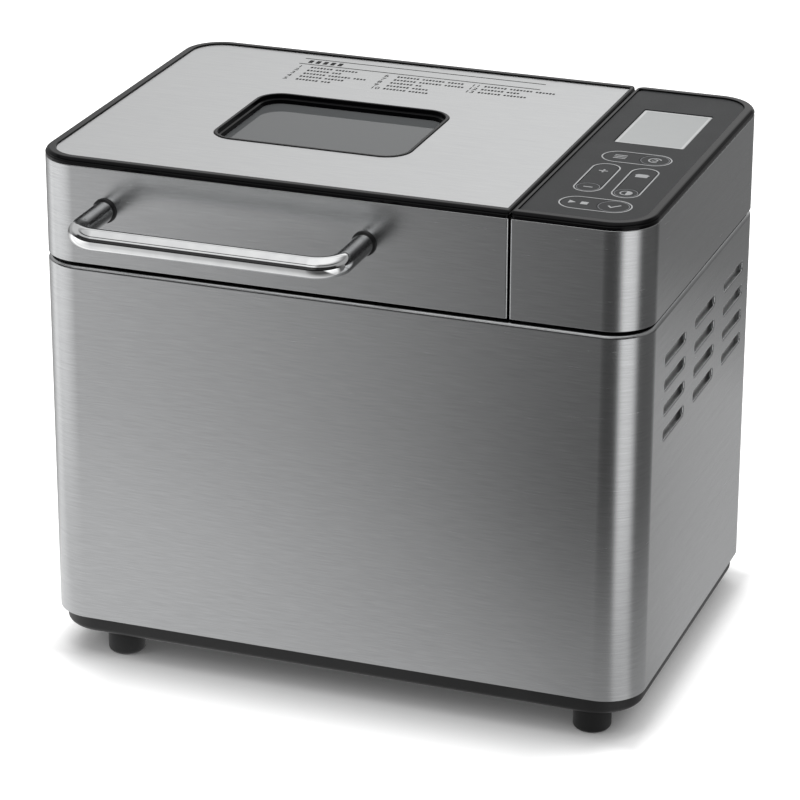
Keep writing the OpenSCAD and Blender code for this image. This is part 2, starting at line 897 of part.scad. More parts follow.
// The seat that the bread pan's foot drops into and turns under
module pan_socket() {
    low = chamber_z + sheet_t;
    color("#9b9da0") translate([chamber_x, 0, low]) difference() {
        union() {
            cylinder(r = socket_r + socket_t, h = socket_h);
            cylinder(r = socket_r + socket_t + socket_flange, h = socket_floor);
        }
        translate([0, 0, socket_floor]) cylinder(r = socket_r + clear, h = socket_h);
        translate([0, 0, -1]) cylinder(r = socket_hole_r, h = socket_floor + 2);
        for (a = [0, 180]) rotate(a) translate([socket_r - 3, -slot_w / 2, 2 * socket_floor])
            cube([socket_t + 8, slot_w, socket_h]);
    }
}

// ---- Drive ----

module drive_bracket() {
    left = post_left_x - post_r;
    length = post_motor_x + post_r - left;
    color("#a7a9a6") difference() {
        union() {
            translate([left, -bracket_half, bracket_z]) cube([length, 2 * bracket_half, bracket_t]);
            for (y = [-bracket_half, bracket_half - bracket_t])
                translate([left, y, bracket_z]) cube([length, bracket_t, bracket_lip]);
        }
        translate([chamber_x, 0, bracket_z - 1]) cylinder(r = housing_r + fit, h = 4);
        translate([motor_x, 0, bracket_z - 1]) cylinder(r = shaft_r + 6, h = 4);
        bracket_screw_places() cylinder(r = screw_r + slip, h = 30, center = true);
        motor_screw_places() cylinder(r = screw_r + slip, h = 10, center = true);
    }
}

// The bracket's posts, then the motor's feet, all at the bracket's top
module bracket_screw_places() {
    for (p = bracket_posts) translate([p[0], p[1], motor_z]) children();
    for (a = [0, 120, 240]) rotate_about(chamber_x, a)
        translate([housing_r + housing_screw, 0, motor_z + housing_flange_t]) children();
}

module rotate_about(x, a) {
    translate([x, 0, 0]) rotate(a) children();
}

// Four screws come up through the bracket into the motor
module motor_screw_places() {
    for (a = [45 : 90 : 315]) rotate_about(motor_x, a)
        translate([motor_screw_at, 0, bracket_z]) children();
}

module bracket_screws() {
    color("#b6b8ba") {
        bracket_screw_places() mirror([0, 0, 1]) screw(bracket_screw_l);
        motor_screw_places() screw(bracket_screw_l);
    }
}

module bearing_housing() {
    low = bracket_z - housing_low;
    color("#8b8d90") difference() {
        union() {
            translate([chamber_x, 0, low]) cylinder(r = housing_r, h = housing_top - low);
            translate([chamber_x, 0, motor_z])
                cylinder(r = housing_r + housing_flange, h = housing_flange_t);
        }
        translate([chamber_x, 0, low - 1]) cylinder(r = bush_r - 1.5, h = housing_top - low + 2);
        for (z = [low - 1, housing_top - bush_h])
            translate([chamber_x, 0, z]) cylinder(r = bush_r + thread, h = bush_h + 1);
        bracket_screw_places() cylinder(r = screw_r + slip, h = 30, center = true);
    }
}

// Sintered sleeves: two on the drive shaft and two in the motor
module shaft_bushes() {
    color("#b08d57") {
        for (z = [bracket_z - housing_low, housing_top - bush_h]) bush(chamber_x, z);
        for (z = [motor_z + bush_set, motor_z + motor_h - bush_set - bush_h]) bush(motor_x, z);
    }
}

module bush(x, z) {
    translate([x, 0, z]) difference() {
        cylinder(r = bush_r, h = bush_h);
        translate([0, 0, -1]) cylinder(r = shaft_r + fit, h = bush_h + 2);
    }
}

module motor_housing() {
    band = motor_h * motor_band;
    air_w = 3;
    air_l = 8;
    color("#9da0a3") translate([motor_x, 0, motor_z]) difference() {
        union() {
            cylinder(r = motor_r, h = band);
            cylinder(r = motor_r - motor_waist, h = motor_h);
            translate([0, 0, motor_h - band]) cylinder(r = motor_r, h = band);
        }
        translate([0, 0, -1]) cylinder(r = shaft_r + 1, h = motor_h + 2);
        for (z = [-1, motor_h - bush_set - bush_h])
            translate([0, 0, z]) cylinder(r = bush_r + thread, h = bush_h + bush_set + 1);
        for (a = [45 : 90 : 315]) rotate(a) translate([motor_screw_at, 0, -1])
            cylinder(r = screw_r + thread, h = bracket_screw_l + 1);
        for (a = [0 : 30 : 330]) rotate(a)
            translate([motor_r - motor_waist - air_l - 1, -air_w / 2, motor_h - air_w])
                cube([air_l, air_w, air_w + 1]);
    }
}

module drive_shaft() {
    low = pulley_z - 6;
    color("#c8cacc") translate([chamber_x, 0, low]) {
        cylinder(r = shaft_r, h = chamber_z + coupler_up + coupler_t - 0.5 - low);
        cylinder(r = shaft_collar_r, h = 5.8);
    }
}

// The wheel that the belt turns, on the drive shaft below the bracket
module large_pulley() {
    color("#e6e4dc") translate([chamber_x, 0, pulley_z]) difference() {
        union() {
            difference() {
                pulley_rim(pulley_r);
                translate([0, 0, web_t]) cylinder(r = pulley_r - 6, h = pulley_h);
            }
            cylinder(r = shaft_r + 6, h = pulley_h);
            for (a = [0 : 60 : 300]) rotate(a)
                translate([0, -rib_t / 2, 0]) cube([pulley_r - 4, rib_t, pulley_h - web_t]);
        }
        translate([0, 0, -1]) cylinder(r = shaft_r + thread, h = pulley_h + 2);
        for (a = [30 : 60 : 330]) rotate(a)
            translate([pulley_r * 0.55, 0, -1]) cylinder(r = pulley_r * 0.15, h = web_t + 2);
    }
}

// A flanged wheel whose floor is where the belt's inside runs
module pulley_rim(r) {
    outer = r + belt_t + pulley_edge;
    difference() {
        cylinder(r = outer, h = pulley_h);
        translate([0, 0, groove]) difference() {
            cylinder(r = outer + 2, h = pulley_h - 2 * groove);
            translate([0, 0, -1]) cylinder(r = r, h = pulley_h);
        }
    }
}

// A disc with two prongs that push the kneading shaft's wings round. They end under the pan's hub
module drive_coupler() {
    low = chamber_z + coupler_up;
    prong_h = hub_low - clear - low;
    color("#b9bbbe") translate([chamber_x, 0, low]) difference() {
        union() {
            cylinder(r = coupler_r, h = coupler_t);
            for (a = [0, 180]) rotate(a) intersection() {
                cylinder(r = coupler_r, h = prong_h);
                translate([prong_in, -prong_w / 2, 0]) cube([coupler_r, prong_w, prong_h]);
            }
        }
        translate([0, 0, -1]) cylinder(r = shaft_r + thread, h = coupler_t + 2);
    }
}

// A smooth flat belt: an arc round each wheel, and two straight stretches that lap into the arcs
module drive_belt() {
    low = groove + clear;
    strip = pulley_h - 2 * low;
    lap = 0.5;
    color("#18181a") translate([chamber_x, 0, pulley_z + low]) {
        rotate(90 - belt_lean) rotate_extrude(angle = 180 + 2 * belt_lean)
            translate([pulley_r + clear, 0]) square([belt_t, strip]);
        translate([drive_length, 0, 0]) rotate(-90 + belt_lean)
            rotate_extrude(angle = 180 - 2 * belt_lean)
                translate([pinion_r + clear, 0]) square([belt_t, strip]);
        for (s = [0, 1]) mirror([0, s, 0]) rotate(-belt_lean)
            translate([-lap, pulley_r + clear, 0])
                cube([drive_length * cos(belt_lean) + 2 * lap, belt_t, strip]);
    }
}

module motor_shaft() {
    low = pulley_z - 4;
    color("#c8cacc") translate([motor_x, 0, low]) cylinder(r = shaft_r, h = fan_z + fan_h + 2 - low);
}

// The small wheel under the bracket and the cooling fan on top of the motor
module motor_pulley() {
    color("#d9d7cf") translate([motor_x, 0, 0]) difference() {
        translate([0, 0, pulley_z]) pulley_rim(pinion_r);
        translate([0, 0, pulley_z - 1]) cylinder(r = shaft_r + thread, h = pulley_h + 2);
    }
    color("#d9d7cf") translate([motor_x, 0, fan_z]) difference() {
        union() {
            cylinder(r = fan_r, h = fan_blade);
            cylinder(r = shaft_r + 3.5, h = fan_h);
            for (a = [0 : 40 : 320]) rotate(a) translate([2 * shaft_r, -fan_blade / 2, 0])
                cube([fan_r - 2 * shaft_r - 1, fan_blade, fan_h]);
        }
        translate([0, 0, -1]) cylinder(r = shaft_r + thread, h = fan_h + 2);
    }
}

// ---- Power parts ----

module run_capacitor() {
    color("#e4e2da") translate([capacitor_at[0], capacitor_at[1], floor_z]) {
        cylinder(r = capacitor_r, h = capacitor_h);
        for (s = [-1, 1]) translate([s * 5 - tag_t / 2, -tag_w / 2, capacitor_h - 0.5])
            cube([tag_t, tag_w, tag_h + 0.5]);
    }
}

module power_board() {
    color("#c9a66b") difference() {
        translate([power_at[0], power_at[1], power_z])
            linear_extrude(board_t) square([power_w, power_d], center = true);
        for (p = power_posts)
            translate([p[0], p[1], power_z - 1]) cylinder(r = small_screw_r + slip, h = board_t + 2);
    }
}

// Transformer, relay, fuse and smoothing capacitors
module power_parts() {
    color("#3f6fb0") translate([power_at[0], power_at[1], power_z + board_t]) {
        translate([coil_x, -coil_d / 2, 0]) cube([coil_w, coil_d, coil_h]);
        translate([coil_x + core_in, -coil_d / 2 - core_in, 0])
            cube([coil_w - 2 * core_in, coil_d + 2 * core_in, core_h]);
        translate(relay_at) cube([relay_w, relay_d, relay_h]);
        translate(fuse_at) {
            cube(fuse_block);
            cube(fuse_base);
        }
        for (p = smoother_at) translate(p) cylinder(r = smoother_r, h = smoother_h);
    }
}

// ---- Control tower ----

module tower_skirt() {
    color("#a3a5a7") translate([0, 0, skirt_z]) linear_extrude(skirt_h) difference() {
        tower_plan(0, 0);
        body_plan(sheet_t);
    }
}

module control_housing() {
    color("#2b2c2e") difference() {
        union() {
            translate([0, 0, skirt_z + 0.5]) linear_extrude(trim_z - skirt_z) difference() {
                tower_plan(sheet_t, 0);
                tower_plan(sheet_t + frame_t, frame_t);
            }
            translate([0, 0, panel_z - panel_t]) linear_extrude(panel_t)
                tower_plan(trim_w - 0.5, 0);
            top_bead(tower_left, body_w);
            translate([0, 0, deck_top + upstand_h]) linear_extrude(frame_t) difference() {
                tower_plan(sheet_t + frame_t - 1, frame_t - 1);
                tower_plan(upstand_in + upstand_t + 1, frame_t + clear + upstand_t + 1);
            }
            for (p = board_posts)
                translate([p[0], p[1], board_z + board_t])
                    cylinder(r = board_post_r, h = panel_z - board_z - board_t - 1);
        }
        translate([lcd_x, lcd_y, panel_z - panel_t - 1]) {
            linear_extrude(panel_t + 2) square([lcd_w, lcd_d], center = true);
            linear_extrude(panel_t / 2 + 0.9)
                square([lcd_w + 2 * lcd_rebate, lcd_d + 2 * lcd_rebate], center = true);
        }
        for (p = key_pills) translate([p[0], p[1], panel_z - panel_t - 1])
            round_block(p[2], p[3], min(p[2], p[3]) / 2 - 0.2, panel_t + 2);
        for (p = board_posts)
            translate([p[0], p[1], board_z])
                cylinder(r = small_screw_r + thread, h = small_screw_l + 2);
    }
}

// The part of the black bead round the top that lies between two places across the body
module top_bead(from_x, to_x) {
    intersection() {
        translate([0, 0, trim_z]) rail(body_w, body_d, corner_r) union() {
            translate([-trim_w, 0]) square([trim_w - trim_h, trim_h]);
            translate([-trim_h, 0]) quarter(trim_h);
        }
        translate([from_x, -body_d, trim_z - 1]) cube([to_x - from_x, 2 * body_d, trim_h + 2]);
    }
}

// Key k is one half of pill floor(k / 2). Wide pills split across, tall pills split along
function pill_of(k) = key_pills[floor(k / 2)];
function pill_wide(k) = pill_of(k)[2] > pill_of(k)[3];
function key_side(k) = k % 2 == 0 ? -1 : 1;
function key_off(k) = key_side(k) < 0
    ? -max(pill_of(k)[2], pill_of(k)[3]) / 4
    : (max(pill_of(k)[2], pill_of(k)[3]) - min(pill_of(k)[2], pill_of(k)[3])) / 2;
function key_at(k) = [
    pill_of(k)[0] + (pill_wide(k) ? key_off(k) : 0),
    pill_of(k)[1] - (pill_wide(k) ? 0 : key_off(k))
];

// A key's outline: the right or front key ends in a circle, and its neighbour is cut round it
module key_plan(k) {
    p = pill_of(k);
    across = min(p[2], p[3]);
    r = across / 2 - key_gap;
    end = (max(p[2], p[3]) - across) / 2;
    zone = pill_wide(k) ? [p[0] + end, p[1]] : [p[0], p[1] - end];
    if (key_side(k) > 0) {
        translate(zone) circle(r);
    } else {
        difference() {
            translate([p[0], p[1]])
                round_rect(p[2] - 2 * key_gap, p[3] - 2 * key_gap, r - 0.2);
            translate(zone) circle(r + key_gap);
            translate(zone) rotate(pill_wide(k) ? 0 : -90)
                translate([0, -across]) square([across, 2 * across]);
        }
    }
}

module key(k) {
    at = key_at(k);
    plunger = board_z + board_t + switch_h + clear;
    color("#2b2c2e") {
        translate([0, 0, panel_z - panel_t + 1]) linear_extrude(panel_t - 1) key_plan(k);
        translate([at[0], at[1], plunger + key_travel])
            cylinder(r = plunger_r, h = panel_z - 1 - plunger - key_travel);
    }
}

module key_switches() {
    color("#dcdcdc") for (k = [0 : 7]) translate([key_at(k)[0], key_at(k)[1], board_z + board_t]) {
        linear_extrude(switch_body) square(switch_w, center = true);
        cylinder(r = button_r, h = switch_h);
    }
}

module lcd_lens() {
    color("#dfe3e4") translate([lcd_x, lcd_y, panel_z - lens_drop - lens_t])
        linear_extrude(lens_t) square([lcd_w - 2 * slip, lcd_d - 2 * slip], center = true);
}

module lcd_module() {
    low = board_z + board_t;
    color("#cfd4d6") translate([lcd_x, lcd_y, low]) {
        linear_extrude(panel_z - lens_drop - lens_t - low)
            square([lcd_w - 2, lcd_d - 2], center = true);
        linear_extrude(panel_z - panel_t + 0.4 - low)
            square([lcd_w + 2 * lcd_frame, lcd_d + 2 * lcd_frame], center = true);
    }
}

module control_board() {
    color("#2f6b46") difference() {
        translate([board_left, -board_end, board_z])
            cube([board_right - board_left, 2 * board_end, board_t]);
        for (p = board_posts)
            translate([p[0], p[1], board_z - 1]) cylinder(r = small_screw_r + slip, h = board_t + 2);
    }
}

module board_screws() {
    color("#c9cbcd") {
        for (p = board_posts) translate([p[0], p[1], board_z]) small_screw();
        for (p = power_posts)
            translate([p[0], p[1], power_z + board_t]) mirror([0, 0, 1]) small_screw();
    }
}

// ---- Lid ----

// What the lid must leave free round its hinge: the lugs, and the curve below the axis
module hinge_room() {
    far = hinge_r + shoulder_r + shoulder_flange;
    hinge_lug_places() rotate([0, 90, 0])
        cylinder(r = hinge_r + 5.8, h = lug_w + 1.2, center = true);
    difference() {
        translate([-body_w, hinge_y, skirt_z - 1]) cube([2 * body_w, far, hinge_r + 1]);
        translate([0, hinge_y, hinge_z]) rotate([0, 90, 0])
            cylinder(r = hinge_r, h = 3 * body_w, center = true);
    }
}

module lid_skirt() {
    color("#a3a5a7") difference() {
        translate([0, 0, skirt_z]) linear_extrude(skirt_h) difference() {
            lid_plan(0, 0);
            body_plan(sheet_t);
        }
        translate([-body_w, hinge_y, skirt_z - 1])
            cube([2 * body_w, 2 * hinge_r, barrel_skirt - skirt_z + 1]);
        hinge_room();
        handle_post_places() cylinder(r = screw_r + slip, h = 20, center = true);
    }
}

module lid_frame() {
    color("#1b1b1d") difference() {
        union() {
            translate([0, 0, skirt_z + 0.4]) linear_extrude(trim_z - skirt_z) difference() {
                lid_plan(sheet_t, 0);
                lid_plan(sheet_t + frame_t, frame_t);
            }
            top_bead(-body_w, lid_right);
            translate([0, 0, trim_z]) linear_extrude(trim_h - plate_drop - plate_t) difference() {
                lid_plan(trim_w - 0.5, 0);
                lid_plan(trim_w + ledge_w, ledge_w);
            }
            translate([0, 0, trim_z]) linear_extrude(trim_h - plate_drop) difference() {
                lid_plan(trim_w - 0.5, 0);
                lid_plan(trim_w - 0.5, frame_t);
            }
            intersection() {
                translate([0, hinge_y, hinge_z]) rotate([0, 90, 0])
                    cylinder(r = hinge_r, h = body_w, center = true);
                union() {
                    translate([0, 0, skirt_z - 1]) linear_extrude(barrel_skirt - skirt_z + 1)
                        intersection() {
                            lid_plan(0, 0);
                            translate([-body_w, hinge_y]) square([2 * body_w, body_d]);
                        }
                    translate([0, 0, skirt_z]) linear_extrude(2 * hinge_r + 1)
                        lid_plan(sheet_t, 0);
                }
            }
        }
        hinge_room();
        hinge_lug_places() rotate([0, 90, 0])
            cylinder(r = hinge_pin_r + fit, h = lug_w + 2 * pin_bite + 1, center = true);
        handle_post_places() cylinder(r = screw_r + slip, h = 20, center = true);
    }
}

module lid_top_plate() {
    color("#cfd0d1") translate([0, 0, top_z - plate_drop - plate_t]) linear_extrude(plate_t) difference() {
        lid_plan(trim_w, frame_t + 0.1);
        translate([window_x, window_y])
            round_rect(window_w + 2 * slip, window_d + 2 * slip, window_r + slip);
    }
}

// The black frame of the window: a flange, a wall and a ledge for each pane
module window_frame() {
    inner_w = window_w - 2 * window_wall;
    inner_d = window_d - 2 * window_wall;
    inner_r = window_r - window_wall;
    color("#151517") translate([window_x, window_y, 0]) {
        translate([0, 0, liner_top]) round_tube(
            window_w, window_d, window_r, window_wall, top_z - plate_drop + 0.4 - liner_top
        );
        translate([0, 0, glass_z - pane_ledge])
            round_tube(inner_w + 0.4, inner_d + 0.4, inner_r + 0.2, flange_w, pane_ledge);
        translate([0, 0, top_z - plate_drop - plate_t - flange_t]) round_tube(
            window_w + 2 * flange_out, window_d + 2 * flange_out, window_r + flange_out, flange_w,
            flange_t
        );
    }
}

module window_panes() {
    w = window_w - 2 * window_wall - 2 * pane_fit;
    d = window_d - 2 * window_wall - 2 * pane_fit;
    color([0.75, 0.8, 0.82, 0.4]) translate([window_x, window_y, 0]) {
        for (z = [glass_z, inner_glass_z])
            translate([0, 0, z]) round_block(w, d, window_r - window_wall - pane_fit, glass_t);
    }
}

// The metal tray that closes the lid from below, with a dome over the pan
module lid_liner() {
    low = skirt_z + liner_up;
    dome_w = chamber_w - 2 * dome_in;
    dome_d = chamber_d - 2 * dome_in;
    edge_fit = frame_t + sheet_t + slip;
    color("#a8aaac") difference() {
        union() {
            translate([0, 0, low]) linear_extrude(liner_t) lid_plan(edge_fit, frame_t + slip);
            translate([chamber_x, 0, low])
                round_block(dome_w, dome_d, chamber_r, liner_top - low);
        }
        translate([chamber_x, 0, low - 1]) round_block(
            dome_w - 2 * liner_t, dome_d - 2 * liner_t, chamber_r - liner_t,
            liner_top - low - liner_t + 1
        );
        translate([window_x, window_y, low]) round_block(
            window_w - 2 * window_wall - 12, window_d - 2 * window_wall - 12, window_r - 6,
            liner_top
        );
        translate([-body_w, hinge_y - hinge_r - slip, low - 1])
            cube([2 * body_w, 2 * hinge_r + 9, liner_t + 2]);
        hinge_room();
    }
}

module lid_gasket() {
    low = deck_top + sheet_t + clear + slip;
    color("#7d3b34") translate([chamber_x, 0, low])
        round_tube(
            chamber_w + 2 * gasket_w, chamber_d + 2 * gasket_w, chamber_r + gasket_w,
            gasket_w - 1, skirt_z + liner_up - low
        );
}

// Puts something at each handle post's end, pointing forward
module handle_post_places() {
    for (s = [-1, 1])
        translate([handle_x + s * handle_span / 2, -body_d / 2, skirt_z + handle_up])
            rotate([90, 0, 0]) children();
}

module lid_handle() {
    bar_y = -body_d / 2 - handle_reach;
    half = handle_span / 2;
    foot_y0 = -body_d / 2 - collar_t;
    color("#dcdee0") difference() {
        translate([handle_x, 0, skirt_z + handle_up]) {
            for (s = [-1, 1]) mirror([s < 0 ? 1 : 0, 0, 0]) {
                bar_between([half, foot_y0], [half, bar_y + handle_bend], handle_r);
                bar_bend([half - handle_bend, bar_y + handle_bend], handle_bend, handle_r, 270, 90);
            }
            bar_between([-half + handle_bend, bar_y], [half - handle_bend, bar_y], handle_r);
        }
        handle_post_places() translate([0, 0, collar_t - 1])
            cylinder(r = screw_r + thread, h = handle_bite + 4);
    }
}

module handle_collars() {
    color("#3a3a3c") handle_post_places() difference() {
        cylinder(r = handle_r + collar_out, h = collar_t);
        translate([0, 0, -1]) cylinder(r = screw_r + slip, h = collar_t + 2);
    }
}

module handle_screws() {
    color("#c9cbcd") handle_post_places() translate([0, 0, -sheet_t - frame_t])
        screw(sheet_t + frame_t + collar_t + handle_bite);
}

// ---- Bread pan ----

module bread_pan() {
    color("#4a4a4d") translate([chamber_x, 0, pan_z]) difference() {
        union() {
            round_block(pan_w, pan_d, pan_r, pan_h);
            translate([0, 0, pan_h]) rail(pan_w, pan_d, pan_r)
                translate([pan_rim_out, 0]) circle(pan_rim_r);
        }
        translate([0, 0, pan_t])
            round_block(pan_w - 2 * pan_t, pan_d - 2 * pan_t, pan_r - pan_t, pan_h + 8);
        translate([0, 0, -1]) cylinder(r = hub_r + thread, h = pan_t + 2);
    }
}

// The cast foot under the pan, its bearing, and the two ears that hold the bail
module pan_hub() {
    skirt = pan_z - chamber_z - sheet_t - socket_floor - clear;
    rest_z = bail_z - bail_r - clear - ear_t / 2;
    color("#77797c") translate([chamber_x, 0, 0]) difference() {
        union() {
            translate([0, 0, pan_z - skirt]) difference() {
                cylinder(r = socket_r, h = skirt);
                translate([0, 0, -1]) cylinder(r = socket_r - socket_t, h = skirt - 2);
            }
            translate([0, 0, hub_low]) cylinder(r = hub_r, h = hub_top - hub_low);
            for (a = [0, 180]) rotate(a)
                translate([socket_r - 3, -tab_w / 2, chamber_z + tab_up])
                    cube([socket_t + 4, tab_w, tab_t]);
            for (s = [-1, 1]) {
                translate([s * (pan_w / 2 + ear_t / 2), 0, bail_z])
                    cube([ear_t, ear_w, ear_h], center = true);
                translate([s * (pan_w / 2 + rest_w / 2), -rest_w, rest_z])
                    cube([rest_w, rest_w / 2, ear_t], center = true);
                translate([s * (pan_w / 2 + ear_t / 2), -8, rest_z])
                    cube([ear_t, rest_w, ear_t], center = true);
            }
        }
        translate([0, 0, hub_low - 1]) cylinder(r = shaft_r + fit, h = hub_top - hub_low + 2);
        translate([0, 0, bail_z]) rotate([0, 90, 0])
            cylinder(r = bail_r + fit, h = pan_w * 2, center = true);
    }
}

module pan_handle() {
    half = bail_side;
    in_end = pan_w / 2 + 0.4;
    color("#bfc1c3") translate([chamber_x, 0, bail_z]) for (s = [-1, 1]) mirror([s < 0 ? 1 : 0, 0, 0]) {
        bar_between([in_end, 0], [half - bail_elbow, 0], bail_r);
        bar_bend([half - bail_elbow, -bail_elbow], bail_elbow, bail_r, 0, 90);
        bar_between([half, -bail_elbow], [half, -bail_front + bail_bend], bail_r);
        bar_bend([half - bail_bend, -bail_front + bail_bend], bail_bend, bail_r, 270, 90);
        bar_between([half - bail_bend, -bail_front], [0, -bail_front], bail_r);
    }
}

module kneading_shaft() {
    collar_z = wing_z + 1.5;
    color("#cfd1d3") translate([chamber_x, 0, 0]) {
        difference() {
            translate([0, 0, wing_z]) cylinder(r = shaft_r, h = pan_z + stub_h - wing_z);
            translate([shaft_r - shaft_flat, -shaft_r, hub_top + 2.4])
                cube([shaft_r, 2 * shaft_r, stub_h]);
        }
        translate([0, 0, collar_z]) cylinder(r = shaft_r + 3, h = hub_low - clear - collar_z);
        translate([-wing_w / 2, -wing_l / 2, wing_z]) cube([wing_w, wing_l, wing_t]);
        translate([0, 0, hub_top + clear]) cylinder(r = shaft_r + 2, h = 2);
    }
}

module kneading_paddle() {
    low = hub_top + 3;
    color("#45464a") translate([chamber_x, 0, low]) difference() {
        union() {
            cylinder(r = shaft_r + paddle_boss_t, h = paddle_boss_h);
            translate([0, paddle_t / 2, 0]) rotate([90, 0, 0]) linear_extrude(paddle_t) polygon([
                [0, 0], [hub_r + 2, 0], [hub_r + 2, -paddle_foot], [paddle_l - 5, -paddle_foot],
                [paddle_l, 5 - paddle_foot], [paddle_l, paddle_h / 2], [paddle_l - 8, paddle_h - 5],
                [paddle_l - 18, paddle_h], [10, paddle_h - 6], [0, paddle_h - 10]
            ]);
        }
        translate([0, 0, -1]) difference() {
            cylinder(r = shaft_r + fit, h = paddle_h + 8);
            translate([shaft_r - shaft_flat + 0.1, -shaft_r, 0]) cube([4, 2 * shaft_r, paddle_h + 8]);
        }
    }
}

// ---- The pieces ----

placed() base_pan();
placed() feet();
placed() case_screws();
placed() body_shell();
placed() vent_baffle();
placed() cord_gland();
placed() top_deck();
placed() chamber();
placed() heat_shield();
placed() heating_element();
placed() element_bushes();
placed() element_clips();
placed() temperature_probe();
placed() thermal_fuse();
placed() pan_socket();
placed() drive_bracket();
placed() bracket_screws();
placed() bearing_housing();
placed() shaft_bushes();
placed() motor_housing();
placed() drive_belt();
placed() run_capacitor();
placed() power_board();
placed() power_parts();
placed() tower_skirt();
placed() control_housing();
placed() lcd_lens();
placed() lcd_module();
placed() control_board();
placed() board_screws();
placed() key_switches();
placed() hinge_pins();
placed() lid_skirt();
placed() lid_frame();
placed() lid_top_plate();
placed() window_frame();
placed() window_panes();
placed() lid_liner();
placed() lid_gasket();
placed() lid_handle();
placed() handle_collars();
placed() handle_screws();
placed() bread_pan();
placed() pan_hub();
placed() pan_handle();
placed() kneading_shaft();
placed() kneading_paddle();
placed() drive_shaft();
placed() drive_coupler();
placed() large_pulley();
placed() motor_shaft();
placed() motor_pulley();
placed() key(0);  // menu_key
placed() key(1);  // knead_key
placed() key(2);  // later_key
placed() key(3);  // earlier_key
placed() key(4);  // loaf_key
placed() key(5);  // crust_key
placed() key(6);  // start_key
placed() key(7);  // confirm_key
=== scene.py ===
# %% [markdown]
# # Dressing a bread machine
# The CAD model already holds every piece at its real size and place. This lesson gives those pieces
# their finish: brushed steel folded round soft corners, glossy black beads, chrome, glass and
# rubber. The frame comes first, because each surface made later takes its size from a CAD node.

# %% Load the fixed frame
import json
import math

import bmesh
import bpy
import numpy as np
from mathutils import Matrix, Vector


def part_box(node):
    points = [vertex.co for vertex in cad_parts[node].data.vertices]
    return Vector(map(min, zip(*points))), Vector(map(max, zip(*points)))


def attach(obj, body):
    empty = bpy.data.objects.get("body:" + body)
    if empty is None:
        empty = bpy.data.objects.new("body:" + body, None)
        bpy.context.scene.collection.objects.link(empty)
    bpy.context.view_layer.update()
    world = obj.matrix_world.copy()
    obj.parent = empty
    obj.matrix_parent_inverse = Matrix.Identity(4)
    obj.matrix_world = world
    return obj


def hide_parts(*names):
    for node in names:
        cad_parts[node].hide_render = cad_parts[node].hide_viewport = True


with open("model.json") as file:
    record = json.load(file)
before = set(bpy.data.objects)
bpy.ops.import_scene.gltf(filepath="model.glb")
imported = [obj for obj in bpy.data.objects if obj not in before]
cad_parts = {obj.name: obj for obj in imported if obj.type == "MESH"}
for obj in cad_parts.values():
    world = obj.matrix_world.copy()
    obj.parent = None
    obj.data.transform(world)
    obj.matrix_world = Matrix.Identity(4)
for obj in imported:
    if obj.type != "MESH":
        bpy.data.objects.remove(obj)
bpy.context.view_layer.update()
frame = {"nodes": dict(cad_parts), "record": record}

# %% [markdown]
# Blender works in metres, while a sheet-metal drawing is in millimetres. One factor turns one into
# the other, and the main boxes are read from the nodes, so that nothing here repeats a size of the
# body.

# %% Measures read from the frame
MM = 0.001


def mm_box(node):
    """A CAD node's box in millimetres as (x0, x1, y0, y1, z0, z1)."""
    low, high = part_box(node)
    return tuple(float(v) for v in np.stack([low, high], axis=1).ravel() / MM)


X0, X1, Y0, Y1, WALL_Z0, WALL_Z1 = mm_box("body_shell")
CENTRE_Y = (Y0 + Y1) / 2
LID_RIGHT, TOWER_LEFT = mm_box("lid_skirt")[1], mm_box("tower_skirt")[0]
SKIRT_LOW, SKIRT_HIGH = mm_box("lid_skirt")[4:]
TOP_Z = mm_box("lid_frame")[5]
print("Body from", X0, "to", X1, "and", round(Y0, 2), "to", round(Y1, 2), "mm")

# %% [markdown]
# ## The camera
# A long lens from above the right front corner. The numbers come from fitting the vanishing points
# of the body's edges: a lens of about 163 mm on a 36 mm sensor, 22 degrees down and 20 degrees to
# the left. The fit counts height from the foot of the steel wall, 24 mm above the floor.

# %% Camera
WALL_FOOT = 0.024
CAMERA_AT = (0.65422, -1.81445 + CENTRE_Y * MM, 0.90039 + WALL_FOOT)
CAMERA_YAW = math.radians(-19.911)
CAMERA_PITCH = math.radians(22.273)
CAMERA_ROLL = math.radians(0.186)
LENS_MM, SENSOR_MM = 162.99, 36


def aimed(yaw, pitch, roll):
    """Rotation of a camera that looks along +Y, turned by yaw about Z, tipped down and rolled."""
    ahead = Vector((
        math.sin(yaw) * math.cos(pitch),
        math.cos(yaw) * math.cos(pitch),
        -math.sin(pitch),
    ))
    side = Vector((math.cos(yaw), -math.sin(yaw), 0.0))
    up = side.cross(ahead)
    right = side * math.cos(roll) + up * math.sin(roll)
    upright = up * math.cos(roll) - side * math.sin(roll)
    return Matrix((right, upright, -ahead)).transposed()


camera = bpy.data.objects.new("camera", bpy.data.cameras.new("camera"))
bpy.context.scene.collection.objects.link(camera)
camera.data.lens = LENS_MM
camera.data.sensor_width = SENSOR_MM
camera.data.clip_start = 0.05
camera.rotation_mode = "QUATERNION"
camera.location = CAMERA_AT
camera.rotation_quaternion = aimed(CAMERA_YAW, CAMERA_PITCH, CAMERA_ROLL).to_quaternion()
bpy.context.scene.camera = camera
bpy.context.scene.view_settings.view_transform = "Standard"
print("Camera at", CAMERA_AT)

# %% [markdown]
# ## Colour and nodes
# Colours are chosen as sRGB hex codes, the way a paint chart gives them, and one function turns
# them into the linear values that a renderer mixes. A second small function adds any shader node.
# The rest start a material, and lay noise, ranges, colours and bumps, which every finish below is
# made of.

# %% Colour and node helpers


def linear(code):
    """sRGB hex to linear: below 0.04045 a straight line, above it the 2.4 power curve."""
    rgb = np.array([int(code[i:i + 2], 16) for i in (1, 3, 5)]) / 255
    low, high = rgb / 12.92, ((rgb + 0.055) / 1.055) ** 2.4
    return (*np.where(rgb <= 0.04045, low, high).tolist(), 1.0)


